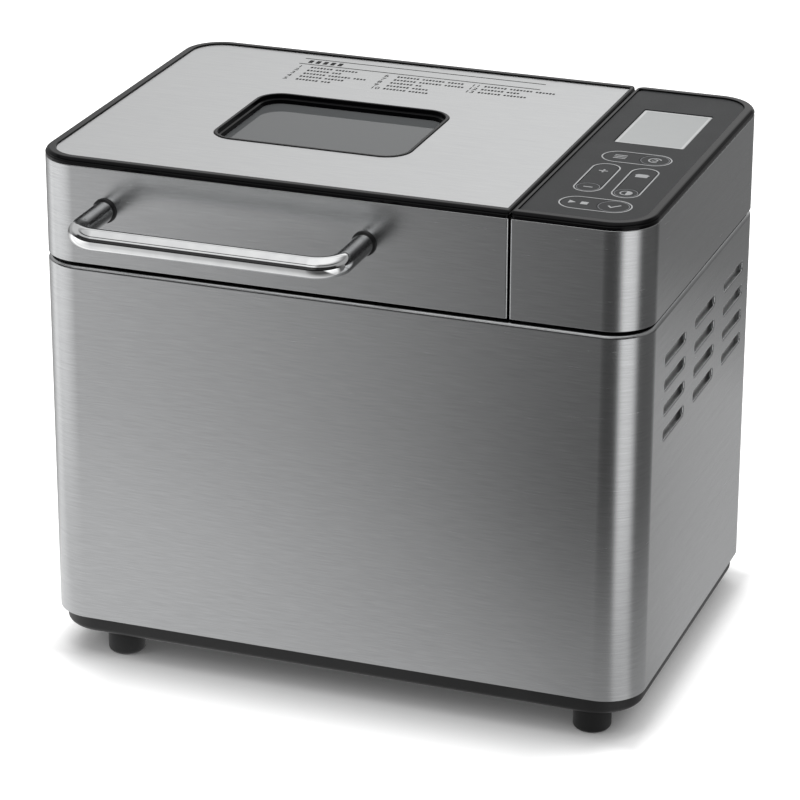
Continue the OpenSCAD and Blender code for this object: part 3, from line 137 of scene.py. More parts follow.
def add(tree, kind, settings=None, **inputs):
    """Adds a node. Settings are its own properties. Inputs are values, or sockets to link from,
    under the socket's name, or under "in" and its number where names repeat."""
    node = tree.nodes.new(kind)
    for key, value in (settings or {}).items():
        setattr(node, key, value)
    for key, value in inputs.items():
        numbered = key.startswith("in") and key[2:].isdigit()
        socket = node.inputs[int(key[2:]) if numbered else key.replace("_", " ")]
        if isinstance(value, bpy.types.NodeSocket):
            tree.links.new(value, socket)
        else:
            socket.default_value = value
    return node


def material(name):
    """A new material with an empty tree, its output node and its surface shader."""
    made = bpy.data.materials.new(name)
    made.use_nodes = True
    tree = made.node_tree
    tree.nodes.clear()
    out = add(tree, "ShaderNodeOutputMaterial")
    shader = add(tree, "ShaderNodeBsdfPrincipled")
    tree.links.new(shader.outputs[0], out.inputs[0])
    return made, tree, shader


def stretched_noise(tree, sizes_mm, detail=2.0, roughness=0.5):
    """Noise on object coordinates, whose grains measure sizes_mm along X, Y and Z."""
    where = add(tree, "ShaderNodeTexCoord").outputs["Object"]
    scaled = add(tree, "ShaderNodeMapping", {"vector_type": "POINT"}, Vector=where,
                 Scale=[1 / (s * MM) for s in sizes_mm])
    return add(tree, "ShaderNodeTexNoise", Vector=scaled.outputs[0], Scale=1.0, Detail=detail,
               Roughness=roughness).outputs[0]


def between(tree, factor, low, high, from_low=0.0, from_high=1.0):
    """Carries a factor from one range to another."""
    return add(tree, "ShaderNodeMapRange", {"clamp": True}, Value=factor, From_Min=from_low,
               From_Max=from_high, To_Min=low, To_Max=high).outputs[0]


def shade(tree, factor, dark, light):
    """Mixes two hex colours by noise, whose middle part, 0.3 to 0.7, is spread over both."""
    spread = between(tree, factor, 0, 1, 0.3, 0.7)
    mix = add(tree, "ShaderNodeMix", {"data_type": "RGBA"}, in0=spread)
    mix.inputs[6].default_value = linear(dark)
    mix.inputs[7].default_value = linear(light)
    return mix.outputs[2]


def bump(tree, height, depth_mm):
    """A normal from a height that runs from 0 to 1 over depth_mm."""
    return add(tree, "ShaderNodeBump", Height=height, Strength=1.0,
               Distance=depth_mm * MM).outputs[0]


print("Helpers ready; mid grey #808080 is linear", round(linear("#808080")[0], 3))

# %% [markdown]
# ## Brushed stainless steel
# Sheet steel for kitchen goods is ground with a belt, always in one direction. The scratches are a
# tenth of a millimetre apart and centimetres long. They smear reflections across the grain, and
# leave faint lighter and darker lines. Real scratches are finer than a pixel here, so they are
# drawn near half a millimetre apart. The grain runs level round the body, and from left to right on
# the lid.

# %% Brushed steel


def brushed_steel(name, grain_mm, dark, light, roughness):
    """Ground stainless sheet. grain_mm gives a scratch's size along X, Y and Z."""
    made, tree, shader = material(name)
    lines = stretched_noise(tree, grain_mm, detail=3.0, roughness=0.65)
    broad = stretched_noise(tree, [6 * g for g in grain_mm], detail=1.0)
    tree.links.new(shade(tree, lines, dark, light), shader.inputs["Base Color"])
    spread = add(
        tree, "ShaderNodeMath", {"operation": "ADD"},
        in0=between(tree, lines, -0.02, 0.02, 0.25, 0.75),
        in1=between(tree, broad, roughness - 0.01, roughness + 0.01, 0.3, 0.7),
    ).outputs[0]
    tree.links.new(spread, shader.inputs["Roughness"])
    tree.links.new(bump(tree, lines, 0.003), shader.inputs["Normal"])
    shader.inputs["Metallic"].default_value = 1.0
    return made


# Ground sheet round the body: soft streaks of light that stay level on every wall
steel_wall = brushed_steel("brushed_stainless_wall", [16, 16, 0.5], "#b6b7b8", "#c4c5c6", 0.25)
# Paler ground sheet of the lid: a wide even glow, with fine lines from left to right
steel_plate = brushed_steel("brushed_stainless_plate", [16, 0.5, 16], "#cbcccd", "#d8d9d9", 0.31)
print("Steel:", steel_wall.name, steel_plate.name)

# %% [markdown]
# ## Plastics and rubber
# Moulded plastic never has one even colour: a fine texture from the mould and a little wear change
# how it shines. Each of these starts from the common values of its material, with an IOR of 1.5,
# and says how coarse its grain is, how rough, how much the roughness wanders, and how deep the
# texture is.

# %% Moulded finishes


def moulded(name, dark, light, grain_mm, roughness, spread, depth_mm=0.01, shine=0.5, coat=0.0):
    """Moulded plastic, rubber or a painted part: an even grain in colour, shine and height."""
    made, tree, shader = material(name)
    grain = stretched_noise(tree, [grain_mm] * 3, detail=3.0)
    broad = stretched_noise(tree, [40 * grain_mm] * 3, detail=1.0)
    tree.links.new(shade(tree, broad, dark, light), shader.inputs["Base Color"])
    tree.links.new(between(tree, grain, roughness - spread, roughness + spread, 0.3, 0.7),
                   shader.inputs["Roughness"])
    tree.links.new(bump(tree, grain, depth_mm), shader.inputs["Normal"])
    shader.inputs["IOR"].default_value = 1.5
    shader.inputs["Specular IOR Level"].default_value = shine
    shader.inputs["Coat Weight"].default_value = coat
    return made


# ABS from a polished mould: deep black beads with a crisp, narrow glint
black_abs = moulded("black_gloss_abs", "#030304", "#070708", 0.5, 0.1, 0.02, 0.0005, shine=0.12)
# Hard-coated polyester film over the keys: dark grey with a wide, dim sheen
satin_panel = moulded("satin_control_overlay", "#242526", "#2a2b2c", 0.6, 0.42, 0.03, 0.002,
                      shine=0.12)
# Heat-proof phenolic of the deck and frames: black and dull, with a fine tooth
deck_plastic = moulded("black_phenolic_deck", "#121213", "#19191a", 0.6, 0.45, 0.05, 0.02)
# Rubber of the feet: charcoal, with hardly any shine
foot_rubber = moulded("black_rubber", "#111112", "#1a1a1b", 0.4, 0.7, 0.08, 0.03)
# Grey louvre behind the vents, its colour lifted near white as painted light, so that it stays pale
# in the shade behind the slots
louvre_grey = moulded("grey_louvre_plastic", "#dcdddd", "#efefef", 0.4, 0.45, 0.05, 0.02)
# Nylon collars of the handle: near black, a thin soft edge of light
collar_plastic = moulded("dark_collar_nylon", "#141415", "#1d1d1e", 0.5, 0.35, 0.05, 0.01)
# Sprayed non-stick coat in the pan: charcoal with a slight eggshell shine
pan_coating = moulded("non_stick_pan_coating", "#37373a", "#444447", 0.35, 0.42, 0.08, 0.02,
                      coat=0.2)
# Cast silicone of the gasket: brick red and waxy
silicone = moulded("red_silicone", "#7a2f27", "#8c3a31", 0.5, 0.5, 0.06, 0.02)
# Moulded belt: matt black, a little dusty
belt_rubber = moulded("belt_rubber", "#101011", "#19191a", 0.3, 0.65, 0.06, 0.03)
# Natural nylon of gears, sleeves and pulleys: ivory, half matt
pale_plastic = moulded("ivory_nylon", "#cfccc0", "#dedbd0", 0.5, 0.42, 0.05, 0.02)
# Pressed ceramic of the rod's bushes: chalky, warm white
ceramic = moulded("unglazed_ceramic", "#d8d2c4", "#e6e1d5", 0.4, 0.6, 0.06, 0.03)
# Lacquered circuit boards: deep green under a clear skin
board_green = moulded("solder_mask_green", "#1d4a30", "#286040", 0.8, 0.3, 0.05, 0.02, coat=0.3)
# Dipped cases of the board's parts: flat blue
part_blue = moulded("blue_component_case", "#27477f", "#315593", 0.5, 0.4, 0.05, 0.02)
print("Black bead plastic:", black_abs.name)

# %% [markdown]
# ## Printed inks and the display
# Screen ink lies thin and flat on what it is printed on, so it has next to no height of its own.
# The display is switched off: its polariser is an even, pale grey.

# %% Inks and display
# Switched-off display: even grey, broken only by a very broad drift
display_face = moulded("grey_display_face", "#a0a2a2", "#a8aaaa", 6.0, 0.4, 0.02, 0.0)
# Line printed round it: paler than the face, so it reads as a thin frame
pale_border = moulded("white_display_border", "#b9baba", "#c2c3c3", 0.4, 0.45, 0.05, 0.0)
# Ink of the symbols and outlines: light grey, easy to read on the dark overlay
pale_print = moulded("pale_grey_print", "#9b9c9d", "#a9aaab", 0.4, 0.5, 0.05, 0.002)
# Second ink for the round keys' edges: a hint more than the overlay itself
faint_print = moulded("faint_grey_print", "#66676a", "#747577", 0.4, 0.5, 0.05, 0.0)
# Ink of the program list: near black and dull on the shining plate
dark_print = moulded("dark_grey_print", "#0b0b0c", "#121213", 0.4, 0.5, 0.05, 0.0, shine=0.12)
print("Inks:", pale_print.name, faint_print.name, dark_print.name)

# %% [markdown]
# ## Bright and dull metals
# Chrome mirrors sharply, rolled and plated sheet only softly, and castings hardly at all. One
# function makes them all, with a faint drift in colour and shine, as handling and heat leave it.

# %% Metals


def bright_metal(name, dark, light, roughness, grain_mm=8.0):
    """Polished, cast or rolled metal with faint drifts in colour and shine."""
    made, tree, shader = material(name)
    drift = stretched_noise(tree, [grain_mm] * 3, detail=2.0)
    tree.links.new(shade(tree, drift, dark, light), shader.inputs["Base Color"])
    tree.links.new(between(tree, drift, roughness * 0.8, roughness * 1.25, 0.3, 0.7),
                   shader.inputs["Roughness"])
    shader.inputs["Metallic"].default_value = 1.0
    return made


# Plated tube of the handle: a hard mirror, black lines beside white ones
chrome = bright_metal("chrome_plate", "#e6e7e8", "#f0f1f1", 0.04)
# Zinc-plated screws, pins and wire: cool grey with a soft gleam
zinc_steel = bright_metal("zinc_plated_steel", "#b8babc", "#cfd1d2", 0.25, 3.0)
# Aluminised sheet of the oven: grey, with a blurred reflection
oven_sheet = bright_metal("aluminised_oven_sheet", "#96979a", "#a3a4a7", 0.40, 3.0)
# Die-cast hubs and sockets: light grey, with the grain of the mould
cast_alloy = bright_metal("die_cast_aluminium", "#8d8f92", "#a3a5a7", 0.5, 1.2)
# Sintered bearings: warm brown, porous and dull
bronze = bright_metal("sintered_bronze", "#8c6a3f", "#a8824e", 0.45, 0.8)
# Galvanised case of the motor: broad cloudy patches
motor_steel = bright_metal("galvanised_motor_shell", "#8e9092", "#a2a4a5", 0.38, 4.0)
# Sheath of the heating rod: browned and darkened by heat
element_sheath = bright_metal("oxidised_element_sheath", "#3b3a3c", "#57534f", 0.5, 4.0)
print("Handle metal:", chrome.name)

# %% [markdown]
# ## Glass
# The lid has two panes. The lower one is clear. The outer one is smoked and passes about a third of
# the light. Its even grey from outside is partly its smoky tint and partly a painted reflection: a
# matt grey in the glass in place of the room that the pane would mirror. So the dark oven stays
# dim.

# %% Glass


def clear_glass(name, tint, clarity=1.0, roughness=0.0):
    """Soda-lime glass, IOR 1.52, with a faint smear in its shine. It passes the share clarity.
    Below full clarity, the rest is a matt tint with little shine: a painted reflection.
    """
    made, tree, shader = material(name)
    smear = stretched_noise(tree, [30, 12, 30], detail=2.0)
    tree.links.new(between(tree, smear, roughness, roughness + 0.03, 0.5, 0.8),
                   shader.inputs["Roughness"])
    shader.inputs["Base Color"].default_value = linear(tint)
    shader.inputs["Transmission Weight"].default_value = clarity
    shader.inputs["Specular IOR Level"].default_value = 0.5 if clarity == 1 else 0.08
    shader.inputs["IOR"].default_value = 1.52
    return made


# Clear inner pane: seen only by its edges and faint reflections
window_glass = clear_glass("window_glass", "#e9eeee")
# Smoked outer pane: a matt grey face with hardly a glint; its grey is a painted reflection over the
# smoky tint
smoked_glass_painted_reflection = clear_glass("smoked_glass_with_painted_reflection", "#636566", 0.3)
print("Panes:", smoked_glass_painted_reflection.name, window_glass.name)

# %% [markdown]
# ## Finishes on the CAD nodes
# Every node says what it is made of by a slot name. A table turns the slot into a finish, and a few
# nodes differ from their slot. The mesh itself is never touched.

# %% Finishes on the CAD nodes
FINISH_OF_SLOT = {
    "steel": steel_wall, "black_plastic": deck_plastic, "feet_rubber": foot_rubber,
    "chrome": chrome, "dark_collar": collar_plastic, "bright_steel": zinc_steel,
    "louvre_grey": louvre_grey, "oven_steel": oven_sheet, "element": element_sheath,
    "ceramic": ceramic, "cast_aluminium": cast_alloy, "bronze": bronze,
    "motor_steel": motor_steel, "belt_rubber": belt_rubber, "white_plastic": pale_plastic,
    "board": board_green, "blue_plastic": part_blue, "display": display_face,
    "glass": window_glass, "gasket": silicone, "pan_coating": pan_coating,
}
FINISH_OF_NODE = {
    "lid_top_plate": steel_plate, "lid_frame": black_abs, "control_housing": black_abs,
    "window_frame": black_abs,
}
SLOT_OF = {row["node"]: row["material_slot"] for row in frame["record"]["subparts"]}
for name, slot_name in SLOT_OF.items():
    materials = frame["nodes"][name].data.materials
    materials.clear()
    materials.append(FINISH_OF_NODE.get(name, FINISH_OF_SLOT[slot_name]))
print("Finished CAD nodes:", len(SLOT_OF))

# %% [markdown]
# ## Surfaces from a profile and a path
# Almost every sheet and moulding of this appliance is a profile carried round a rounded rectangle.
# The corner of each profile gets a small arc, because no folded or moulded edge is perfectly sharp,
# and such an edge catches a thin bright line. The normals are worked out with the points, so a flat
# stays flat and an arc stays round, however few faces it has.

# %% Profile, rail and skin


def filleted(points, radii, steps=5):
    """Rounds a closed counter-clockwise polygon and returns its points and outward normals. An arc
    begins radius * tan(turn / 2) before its corner, and its middle lies one radius inside."""
    points = np.array(points, float)
    radii = np.broadcast_to(np.array(radii, float), len(points))
    along = points - np.roll(points, 1, axis=0)
    along /= np.linalg.norm(along, axis=1)[:, None]
    onward = np.roll(along, -1, axis=0)
    cross = along[:, 0] * onward[:, 1] - along[:, 1] * onward[:, 0]
    turn = np.arctan2(cross, (along * onward).sum(axis=1))
    out = np.stack([along[:, 1], -along[:, 0]], axis=1)
    start = points - along * (radii * np.tan(np.abs(turn) / 2))[:, None]
    bend = (radii * np.sign(turn))[:, None]
    middle = start - out * bend
    angle = turn[:, None] * np.linspace(0, 1, steps + 1)
    normal = np.stack([
        out[:, :1] * np.cos(angle) - out[:, 1:] * np.sin(angle),
        out[:, :1] * np.sin(angle) + out[:, 1:] * np.cos(angle),
    ], axis=2)
    arcs = middle[:, None, :] + bend[:, :, None] * normal
    return arcs.reshape(-1, 2), normal.reshape(-1, 2)


def rail(box, radii, profile, scale=(1, 1, 1, 1), steps=12, least=0.25):
    """Carries a profile (u outward, v up) round the rectangle (x0, x1, y0, y1).
    Corner: middle = sharp corner - radius, point = middle + radius * (cos a, sin a), where the
    radius grows with u. Corners run back right, back left, front left, front right; scale says how
    much of u each of left, right, front and back takes. Returns rows of points and of normals."""
    x0, x1, y0, y1 = box
    left, right, front, back = scale
    (uv, tilt), quarter = profile, np.linspace(0, math.pi / 2, steps + 1)
    u, v = uv[:, :1], uv[:, 1:]
    rows, normals = [], []
    for number, (x, y, sx, sy, kx, ky) in enumerate([
        (x1, y1, 1, 1, right, back), (x0, y1, -1, 1, left, back),
        (x0, y0, -1, -1, left, front), (x1, y0, 1, -1, right, front),
    ]):
        angle = quarter + number * math.pi / 2
        r = np.maximum(radii[number] + u, least)
        px = x + sx * (u * kx - r) + r * np.cos(angle)
        py = y + sy * (u * ky - r) + r * np.sin(angle)
        rows.append(np.stack([px, py, v + 0 * px], axis=2))
        normals.append(np.stack([
            tilt[:, :1] * np.cos(angle), tilt[:, :1] * np.sin(angle), tilt[:, 1:] + 0 * px,
        ], axis=2))
    return np.concatenate(rows, axis=1), np.concatenate(normals, axis=1)


def skin(grid, normals, ring=True, loop=True):
    """Faces between neighbouring rows and columns. Where rows or columns don't close on themselves,
    their ends are capped. Returns points, normals and faces."""
    index = np.arange(grid.shape[0] * grid.shape[1]).reshape(grid.shape[:2])
    up = np.roll(index, -1, axis=0)
    faces = np.stack([index, np.roll(index, -1, axis=1), np.roll(up, -1, axis=1), up], axis=2)
    faces = faces[: None if ring else -1, : None if loop else -1].reshape(-1, 4).tolist()
    if not ring:
        faces += [index[0, ::-1].tolist(), index[-1].tolist()]
    if not loop:
        faces += [index[:, 0].tolist(), index[::-1, -1].tolist()]
    return grid.reshape(-1, 3), normals.reshape(-1, 3), faces


rounded_square = filleted([(0, 0), (1, 0), (1, 1), (0, 1)], 0.1)
print("A square with four fillets has", len(rounded_square[0]), "points")

# %% [markdown]
# ## Placing and measuring
# A part is three arrays: points, normals and faces. It can be shifted, or have its axes swapped to
# face another way. Rectangles are written as left, right, front and back, and grow by moving each
# side out.

# %% Parts and rectangles


def turned(part, order):
    """The same part with its axes in another order, such as "yzx" for a shape that faces +X."""
    points, normals, faces = part
    take = [order.index(axis) for axis in "xyz"]
    return points[:, take], normals[:, take], faces


def moved(part, offset):
    """The same part, shifted by millimetres."""
    return part[0] + np.array(offset), part[1], part[2]


def around(x, y, width, depth, grow=0.0):
    """A rectangle (x0, x1, y0, y1) about its middle, grown by so many millimetres all round."""
    return (x - width / 2 - grow, x + width / 2 + grow, y - depth / 2 - grow, y + depth / 2 + grow)


def grown(box, by):
    """The same rectangle with each side moved out, or in where by is negative."""
    x0, x1, y0, y1 = box
    return x0 - by, x1 + by, y0 - by, y1 + by


def upright(low, high):
    """A profile of one straight wall between two heights."""
    return np.array([[0.0, low], [0.0, high]]), np.array([[1.0, 0.0], [1.0, 0.0]])


print("A 4 by 2 rectangle grown by 1:", grown(around(0, 0, 4, 2), 1))

# %% [markdown]
# ## Turning arrays into pieces
# A piece is one mesh with one finish, named for what it is. It rides on the body it belongs to, and
# stands for the CAD nodes it replaces. The normals that were worked out with the points go in with
# it.

# %% Making pieces


def joined(name, parts):
    """One object from parts given in millimetres. Returns it and the parts' normals."""
    points, normals, faces, start = [], [], [], 0
    for part_points, part_normals, part_faces in parts:
        points.append(part_points)
        normals.append(part_normals)
        faces += [[start + corner for corner in face] for face in part_faces]
        start += len(part_points)
    mesh = bpy.data.meshes.new(name)
    mesh.from_pydata((np.concatenate(points) * MM).tolist(), [], faces)
    made = bpy.data.objects.new(name, mesh)
    bpy.context.scene.collection.objects.link(made)
    return made, np.concatenate(normals)


def piece(name, parts, finish, body, stands_for=()):
    """Joins parts, given in millimetres, into one finished piece on its body."""
    made, normals = joined(name, parts)
    made.data.shade_smooth()
    made.data.normals_split_custom_set_from_vertices(normals.tolist())
    made.data.materials.append(finish)
    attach(made, body)
    if stands_for:
        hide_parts(*stands_for)
    return made


# %% [markdown]
# ## Holes
# Holes are cut with an exact Boolean, whose result is frozen into the mesh. The cut leaves new
# corners that have no normals of their own, so the edges over a set angle are marked sharp and the
# normals are weighted by face area, which keeps the big flats even.

# %% Cutting holes


def crisp(target, degrees=28):
    """Marks edges over an angle as sharp and weights the normals by face area. Normals that came
    with a CAD mesh belong to its loose triangles, so they go first."""
    if "custom_normal" in target.data.attributes:
        target.data.attributes.remove(target.data.attributes["custom_normal"])
    target.data.shade_smooth()
    target.data.set_sharp_from_angle(angle=math.radians(degrees))
    weigh = target.modifiers.new("even_flats", "WEIGHTED_NORMAL")
    weigh.keep_sharp = True
    weigh.weight = 100


def cut(target, parts, overlapping=False):
    """Subtracts parts from a piece and freezes the result into its mesh."""
    knife, _ = joined("knife", parts)
    tool = target.modifiers.new("cut", "BOOLEAN")
    tool.operation, tool.solver, tool.object = "DIFFERENCE", "EXACT", knife
    tool.use_self = overlapping
    graph = bpy.context.evaluated_depsgraph_get()
    result = bpy.data.meshes.new_from_object(target.evaluated_get(graph))
    target.modifiers.clear()
    old, target.data = target.data, result
    result.name = target.name
    bpy.data.meshes.remove(old)
    bpy.data.objects.remove(knife)
    crisp(target)


def block(x0, x1, y0, y1, z0, z1, radius=0.2):
    """A closed block with round upright edges: an upright wall carried round a rectangle."""
    return skin(*rail((x0, x1, y0, y1), [radius] * 4, upright(z0, z1), steps=3), ring=False)


def rod(radius, low, high, steps=32):
    """A plain upright rod for round holes: (radius cos a, radius sin a) at two heights."""
    angle = np.linspace(0, 2 * math.pi, steps, endpoint=False)
    ring = np.stack([radius * np.cos(angle), radius * np.sin(angle)], axis=1)
    grid = np.stack([np.column_stack([ring, np.full(steps, z)]) for z in (low, high)])
    return skin(grid, grid * 0 + [0, 0, 1], ring=False)


print("A cutting rod has", len(rod(1, 0, 1)[2]), "faces")

# %% [markdown]
# ## The steel wall
# One strip of 0.8 mm sheet is folded round the body, its seam hidden at the back. Its top edge is
# drawn over in a narrow shoulder, and flanged inward, which carries the bright line under the dark
# seam. A profile of the sheet, carried round the body, gives the strip in one go.

# %% Body wall with its shoulder
SHEET_MM, SHOULDER, FLANGE, ROUND = 0.8, 2.5, 6.5, 24.0
FLANGE_U = -SHOULDER - FLANGE
wall_profile = filleted([
    (-SHEET_MM, WALL_Z0), (0, WALL_Z0), (0, WALL_Z1), (FLANGE_U, WALL_Z1),
    (FLANGE_U, WALL_Z1 - SHEET_MM), (-SHEET_MM, WALL_Z1 - SHEET_MM),
], [0.25, 0.25, SHOULDER, 0.25, 0.25, SHOULDER - SHEET_MM], steps=8)
body_wall = piece(
    "body_wall", [skin(*rail((X0, X1, Y0, Y1), [ROUND] * 4, wall_profile, steps=20))],
    steel_wall, "base", ["body_shell"],
)
print("Wall sheet", SHEET_MM, "mm, faces:", len(body_wall.data.polygons))

# %% [markdown]
# ## Vents and holes in the wall
# Twelve slots in the right side let the motor's warm air out. At the back, the sheet clears the two
# hinge lugs, the cord's square bush and three screws. Knives of each shape are cut away in one
# Boolean.

# %% Openings of the wall
VENT_L, VENT_H, VENT_R, RIM = 40.0, 6.0, 1.8, 0.9
VENT_Y, VENT_TOP, VENT_PITCH_Y, VENT_PITCH_Z = CENTRE_Y + 4.3, WALL_Z1 - 27.5, 59.5, 14.5
LUG_X, LUG_HALF = (-130, 66), 5.3
BUSH_X, BUSH_Z, BUSH_HALF = 136, 50, 7.4
BACK_Y0, BACK_Y1 = Y1 - 4, Y1 + 3
SCREW_X, SCREW_Z, SCREW_R = (-120, -40, 40), WALL_Z0 + 5, 2.2
vent_centres = [
    (VENT_Y + (column - 1) * VENT_PITCH_Y, VENT_TOP - row * VENT_PITCH_Z)
    for column in range(3) for row in range(4)
]


def vent_ring(centre, profile, grow, ring):
    """A profile carried round a vent slot, turned to face +X."""
    box = around(*centre, VENT_L, VENT_H, grow)
    return turned(skin(*rail(box, [VENT_R + grow] * 4, profile, steps=8), ring=ring), "yzx")


vent_knives = [vent_ring(c, upright(X1 - 3, X1 + 3), RIM, False) for c in vent_centres]
lug_knives = [
    block(x - LUG_HALF, x + LUG_HALF, Y1 - 15, Y1 - 1, WALL_Z1 - 4, WALL_Z1 + 4) for x in LUG_X
]
bush_knife = block(BUSH_X - BUSH_HALF, BUSH_X + BUSH_HALF, BACK_Y0, BACK_Y1,
                   BUSH_Z - BUSH_HALF, BUSH_Z + BUSH_HALF)
screw_knives = [
    moved(turned(rod(SCREW_R, BACK_Y0, BACK_Y1, 20), "zxy"), (x, 0, SCREW_Z)) for x in SCREW_X
]
cut(body_wall, vent_knives + lug_knives + [bush_knife] + screw_knives)
print("Wall faces after the cut:", len(body_wall.data.polygons), "vents:", len(vent_centres))

# %% [markdown]
# Each slot's edge is rolled inward by the punch, so that no finger meets a raw edge. The roll is a
# ring with a small arc, laid into the opening.

# %% Rolled rims of the vents
RIM_DEPTH = 1.7
rim_profile = filleted([
    (0, X1 - RIM_DEPTH), (RIM, X1 - RIM_DEPTH), (RIM, X1), (0, X1),
], [0.1, 0.1, 0.05, 0.8], steps=5)
vent_rims = piece("vent_rims", [vent_ring(c, rim_profile, 0, True) for c in vent_centres],
                  steel_wall, "base")
print("Rim faces:", len(vent_rims.data.polygons))

# %% [markdown]
# ## The skirts of the lid and the tower
# The upper band is the same sheet in two pieces, parted by a narrow gap. Each piece is turned in at
# its ends round a 1 mm radius, so that the gap is edged by two bright lines. The lid's band leaves
# room for the hinge: below the top of its barrels the back is open, and round each barrel it is cut
# clear.

# %% Skirts
HINGE_R, BARREL_R, BARREL_HALF = 7, 12.8, 5.6
skirt_profile = filleted([
    (-SHEET_MM, SKIRT_LOW), (0, SKIRT_LOW), (0, SKIRT_HIGH), (-SHEET_MM, SKIRT_HIGH),
], [0.1, 0.38, 0.38, 0.1], steps=4)
BARREL_TOP = SKIRT_LOW + HINGE_R + math.sqrt(2 * HINGE_R * SHEET_MM) + 0.2
lid_rows = rail((X0, LID_RIGHT, Y0, Y1), [1, ROUND, ROUND, 1], skirt_profile, steps=20)
lid_band = piece("lid_band", [skin(*lid_rows, loop=False)],
                 steel_wall, "lid", ["lid_skirt"])
lug_rooms = [
    moved(turned(rod(BARREL_R, -BARREL_HALF, BARREL_HALF, 48), "yzx"),
          (x, Y1 - HINGE_R, SKIRT_LOW + HINGE_R)) for x in LUG_X
]
back_room = block(X0 - 5, LID_RIGHT + 5, Y1 - HINGE_R, Y1 + 5, SKIRT_LOW - 2, BARREL_TOP)
cut(lid_band, [back_room] + lug_rooms, overlapping=True)

tower_rows = rail((TOWER_LEFT, X1, Y0, Y1), [ROUND, 1, 1, ROUND], skirt_profile, steps=20)
half_way = tower_rows[0].shape[1] // 2
piece(
    "tower_band", [skin(*[np.roll(rows, -half_way, axis=1) for rows in tower_rows], loop=False)],
    steel_wall, "base", ["tower_skirt"],
)
print("Skirt height:", round(SKIRT_HIGH - SKIRT_LOW, 2), "mm")

# %% [markdown]
# ## The black bead
# A glossy black moulding closes the top edge of the lid and of the tower. A shallow groove parts it
# into a lower band and a rounded upper one, so that it reads as two lines, one black and one grey.
# Along the gap it narrows to a strip of 2 mm.

# %% Beads
BEAD_LOW, BEAD_HIGH = SKIRT_HIGH, TOP_Z
BEAD_W, SPLIT_W = 6.0, 2.1
NARROW = SPLIT_W / BEAD_W
# Round the section: inner foot, lower band, groove, upper roll, inner top
bead_profile = filleted([
    (-BEAD_W, BEAD_LOW), (-0.2, BEAD_LOW), (0, BEAD_LOW + 1.75), (-0.55, BEAD_LOW + 2.05),
    (-0.35, BEAD_LOW + 2.6), (-1.9, BEAD_HIGH), (-BEAD_W, BEAD_HIGH),
], [0.1, 0.4, 0.35, 0.15, 1.0, 1.8, 0.45], steps=6)


def bead(name, box, corners, scale, body, node):
    """The bead's profile carried round one part of the top."""
    rows = rail(box, corners, bead_profile, scale, steps=20)
    return piece(name, [skin(*rows)], black_abs, body, [node])


bead("lid_bead", (X0, LID_RIGHT, Y0, Y1), [4.5, ROUND, ROUND, 2.5], (1, NARROW, 1, 1),
     "lid", "lid_frame")
bead("tower_bead", (TOWER_LEFT, X1, Y0, Y1), [ROUND, 6.5, 2.5, ROUND], (NARROW, 1, 1, 1),
     "base", "control_housing")
print("Bead", BEAD_W, "mm wide,", round(BEAD_HIGH - BEAD_LOW, 2), "mm high")

# %% [markdown]
# ## Moulded frames below the bead
# The walls below the bead are the moulded frame that carries sheet, hinge and panel. Their CAD
# shape is right, so a copy is welded, cut off where the bead starts, and shaded smooth below a
# certain angle.

# %% Welded copies of CAD nodes
WELD = 0.00002


def welded_copy(node, name, finish, body, above_mm=None):
    """A copy of a CAD node with its doubles merged and its curves shaded smooth. Where above_mm is
    given, everything above that height is cut away and the cut is closed."""
    shape = bmesh.new()
    shape.from_mesh(frame["nodes"][node].data)
    bmesh.ops.remove_doubles(shape, verts=shape.verts, dist=WELD)
    if above_mm is not None:
        whole = shape.verts[:] + shape.edges[:] + shape.faces[:]
        found = bmesh.ops.bisect_plane(shape, geom=whole, plane_co=(0, 0, above_mm * MM),
                                       plane_no=(0, 0, 1), clear_outer=True)
        rim = [g for g in found["geom_cut"] if isinstance(g, bmesh.types.BMEdge)]
        bmesh.ops.triangle_fill(shape, edges=rim, use_beauty=True, use_dissolve=False,
                                normal=(0, 0, 1))
    mesh = bpy.data.meshes.new(name)
    shape.to_mesh(mesh)
    shape.free()
    mesh.materials.append(finish)
    made = bpy.data.objects.new(name, mesh)
    bpy.context.scene.collection.objects.link(made)
    crisp(made)
    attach(made, body)
    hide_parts(node)
    return made


FRAMES = [("lid_frame", "lid_walls", "lid"), ("control_housing", "tower_walls", "base")]
for node, name, body in FRAMES:
    walls = welded_copy(node, name, deck_plastic, body, BEAD_LOW - 0.02)
    print(name, "faces:", len(walls.data.polygons))

# %% [markdown]
# ## Inner sheets, castings and wire
# The pan, the chamber, the liner and their neighbours keep the shape that the CAD gives them. A CAD
# mesh has its triangles apart, so each facet would show in a curve. A welded copy, shaded smooth up
# to the angle of a real edge, reflects like the drawn, cast or bent part that it is.

# %% Smooth copies of the round inner parts
BODIES = frame["record"]["behaviour"]["bodies"]
BODY_OF = {node: body for body, nodes in BODIES.items() for node in nodes}
ROUND_NODES = [
    "base_pan", "case_screws", "cord_gland", "top_deck", "chamber", "heating_element", "pan_socket",
    "hinge_pins", "lid_liner", "lid_gasket", "bread_pan", "pan_hub", "pan_handle", "kneading_shaft",
    "kneading_paddle", "drive_coupler",
]
for node in ROUND_NODES:
    slot_name = SLOT_OF[node]
    welded_copy(node, "smooth_" + node, FINISH_OF_SLOT[slot_name], BODY_OF[node])
print("Smooth copies:", len(ROUND_NODES))

# %% [markdown]
# ## The lid's top plate
# The lid's top is a separate plate of lighter brushed steel, dropped 0.8 mm inside the bead. It is
# one surface between two rims: the outer edge, and the edge of the window's hole. Both have a small
# arc.

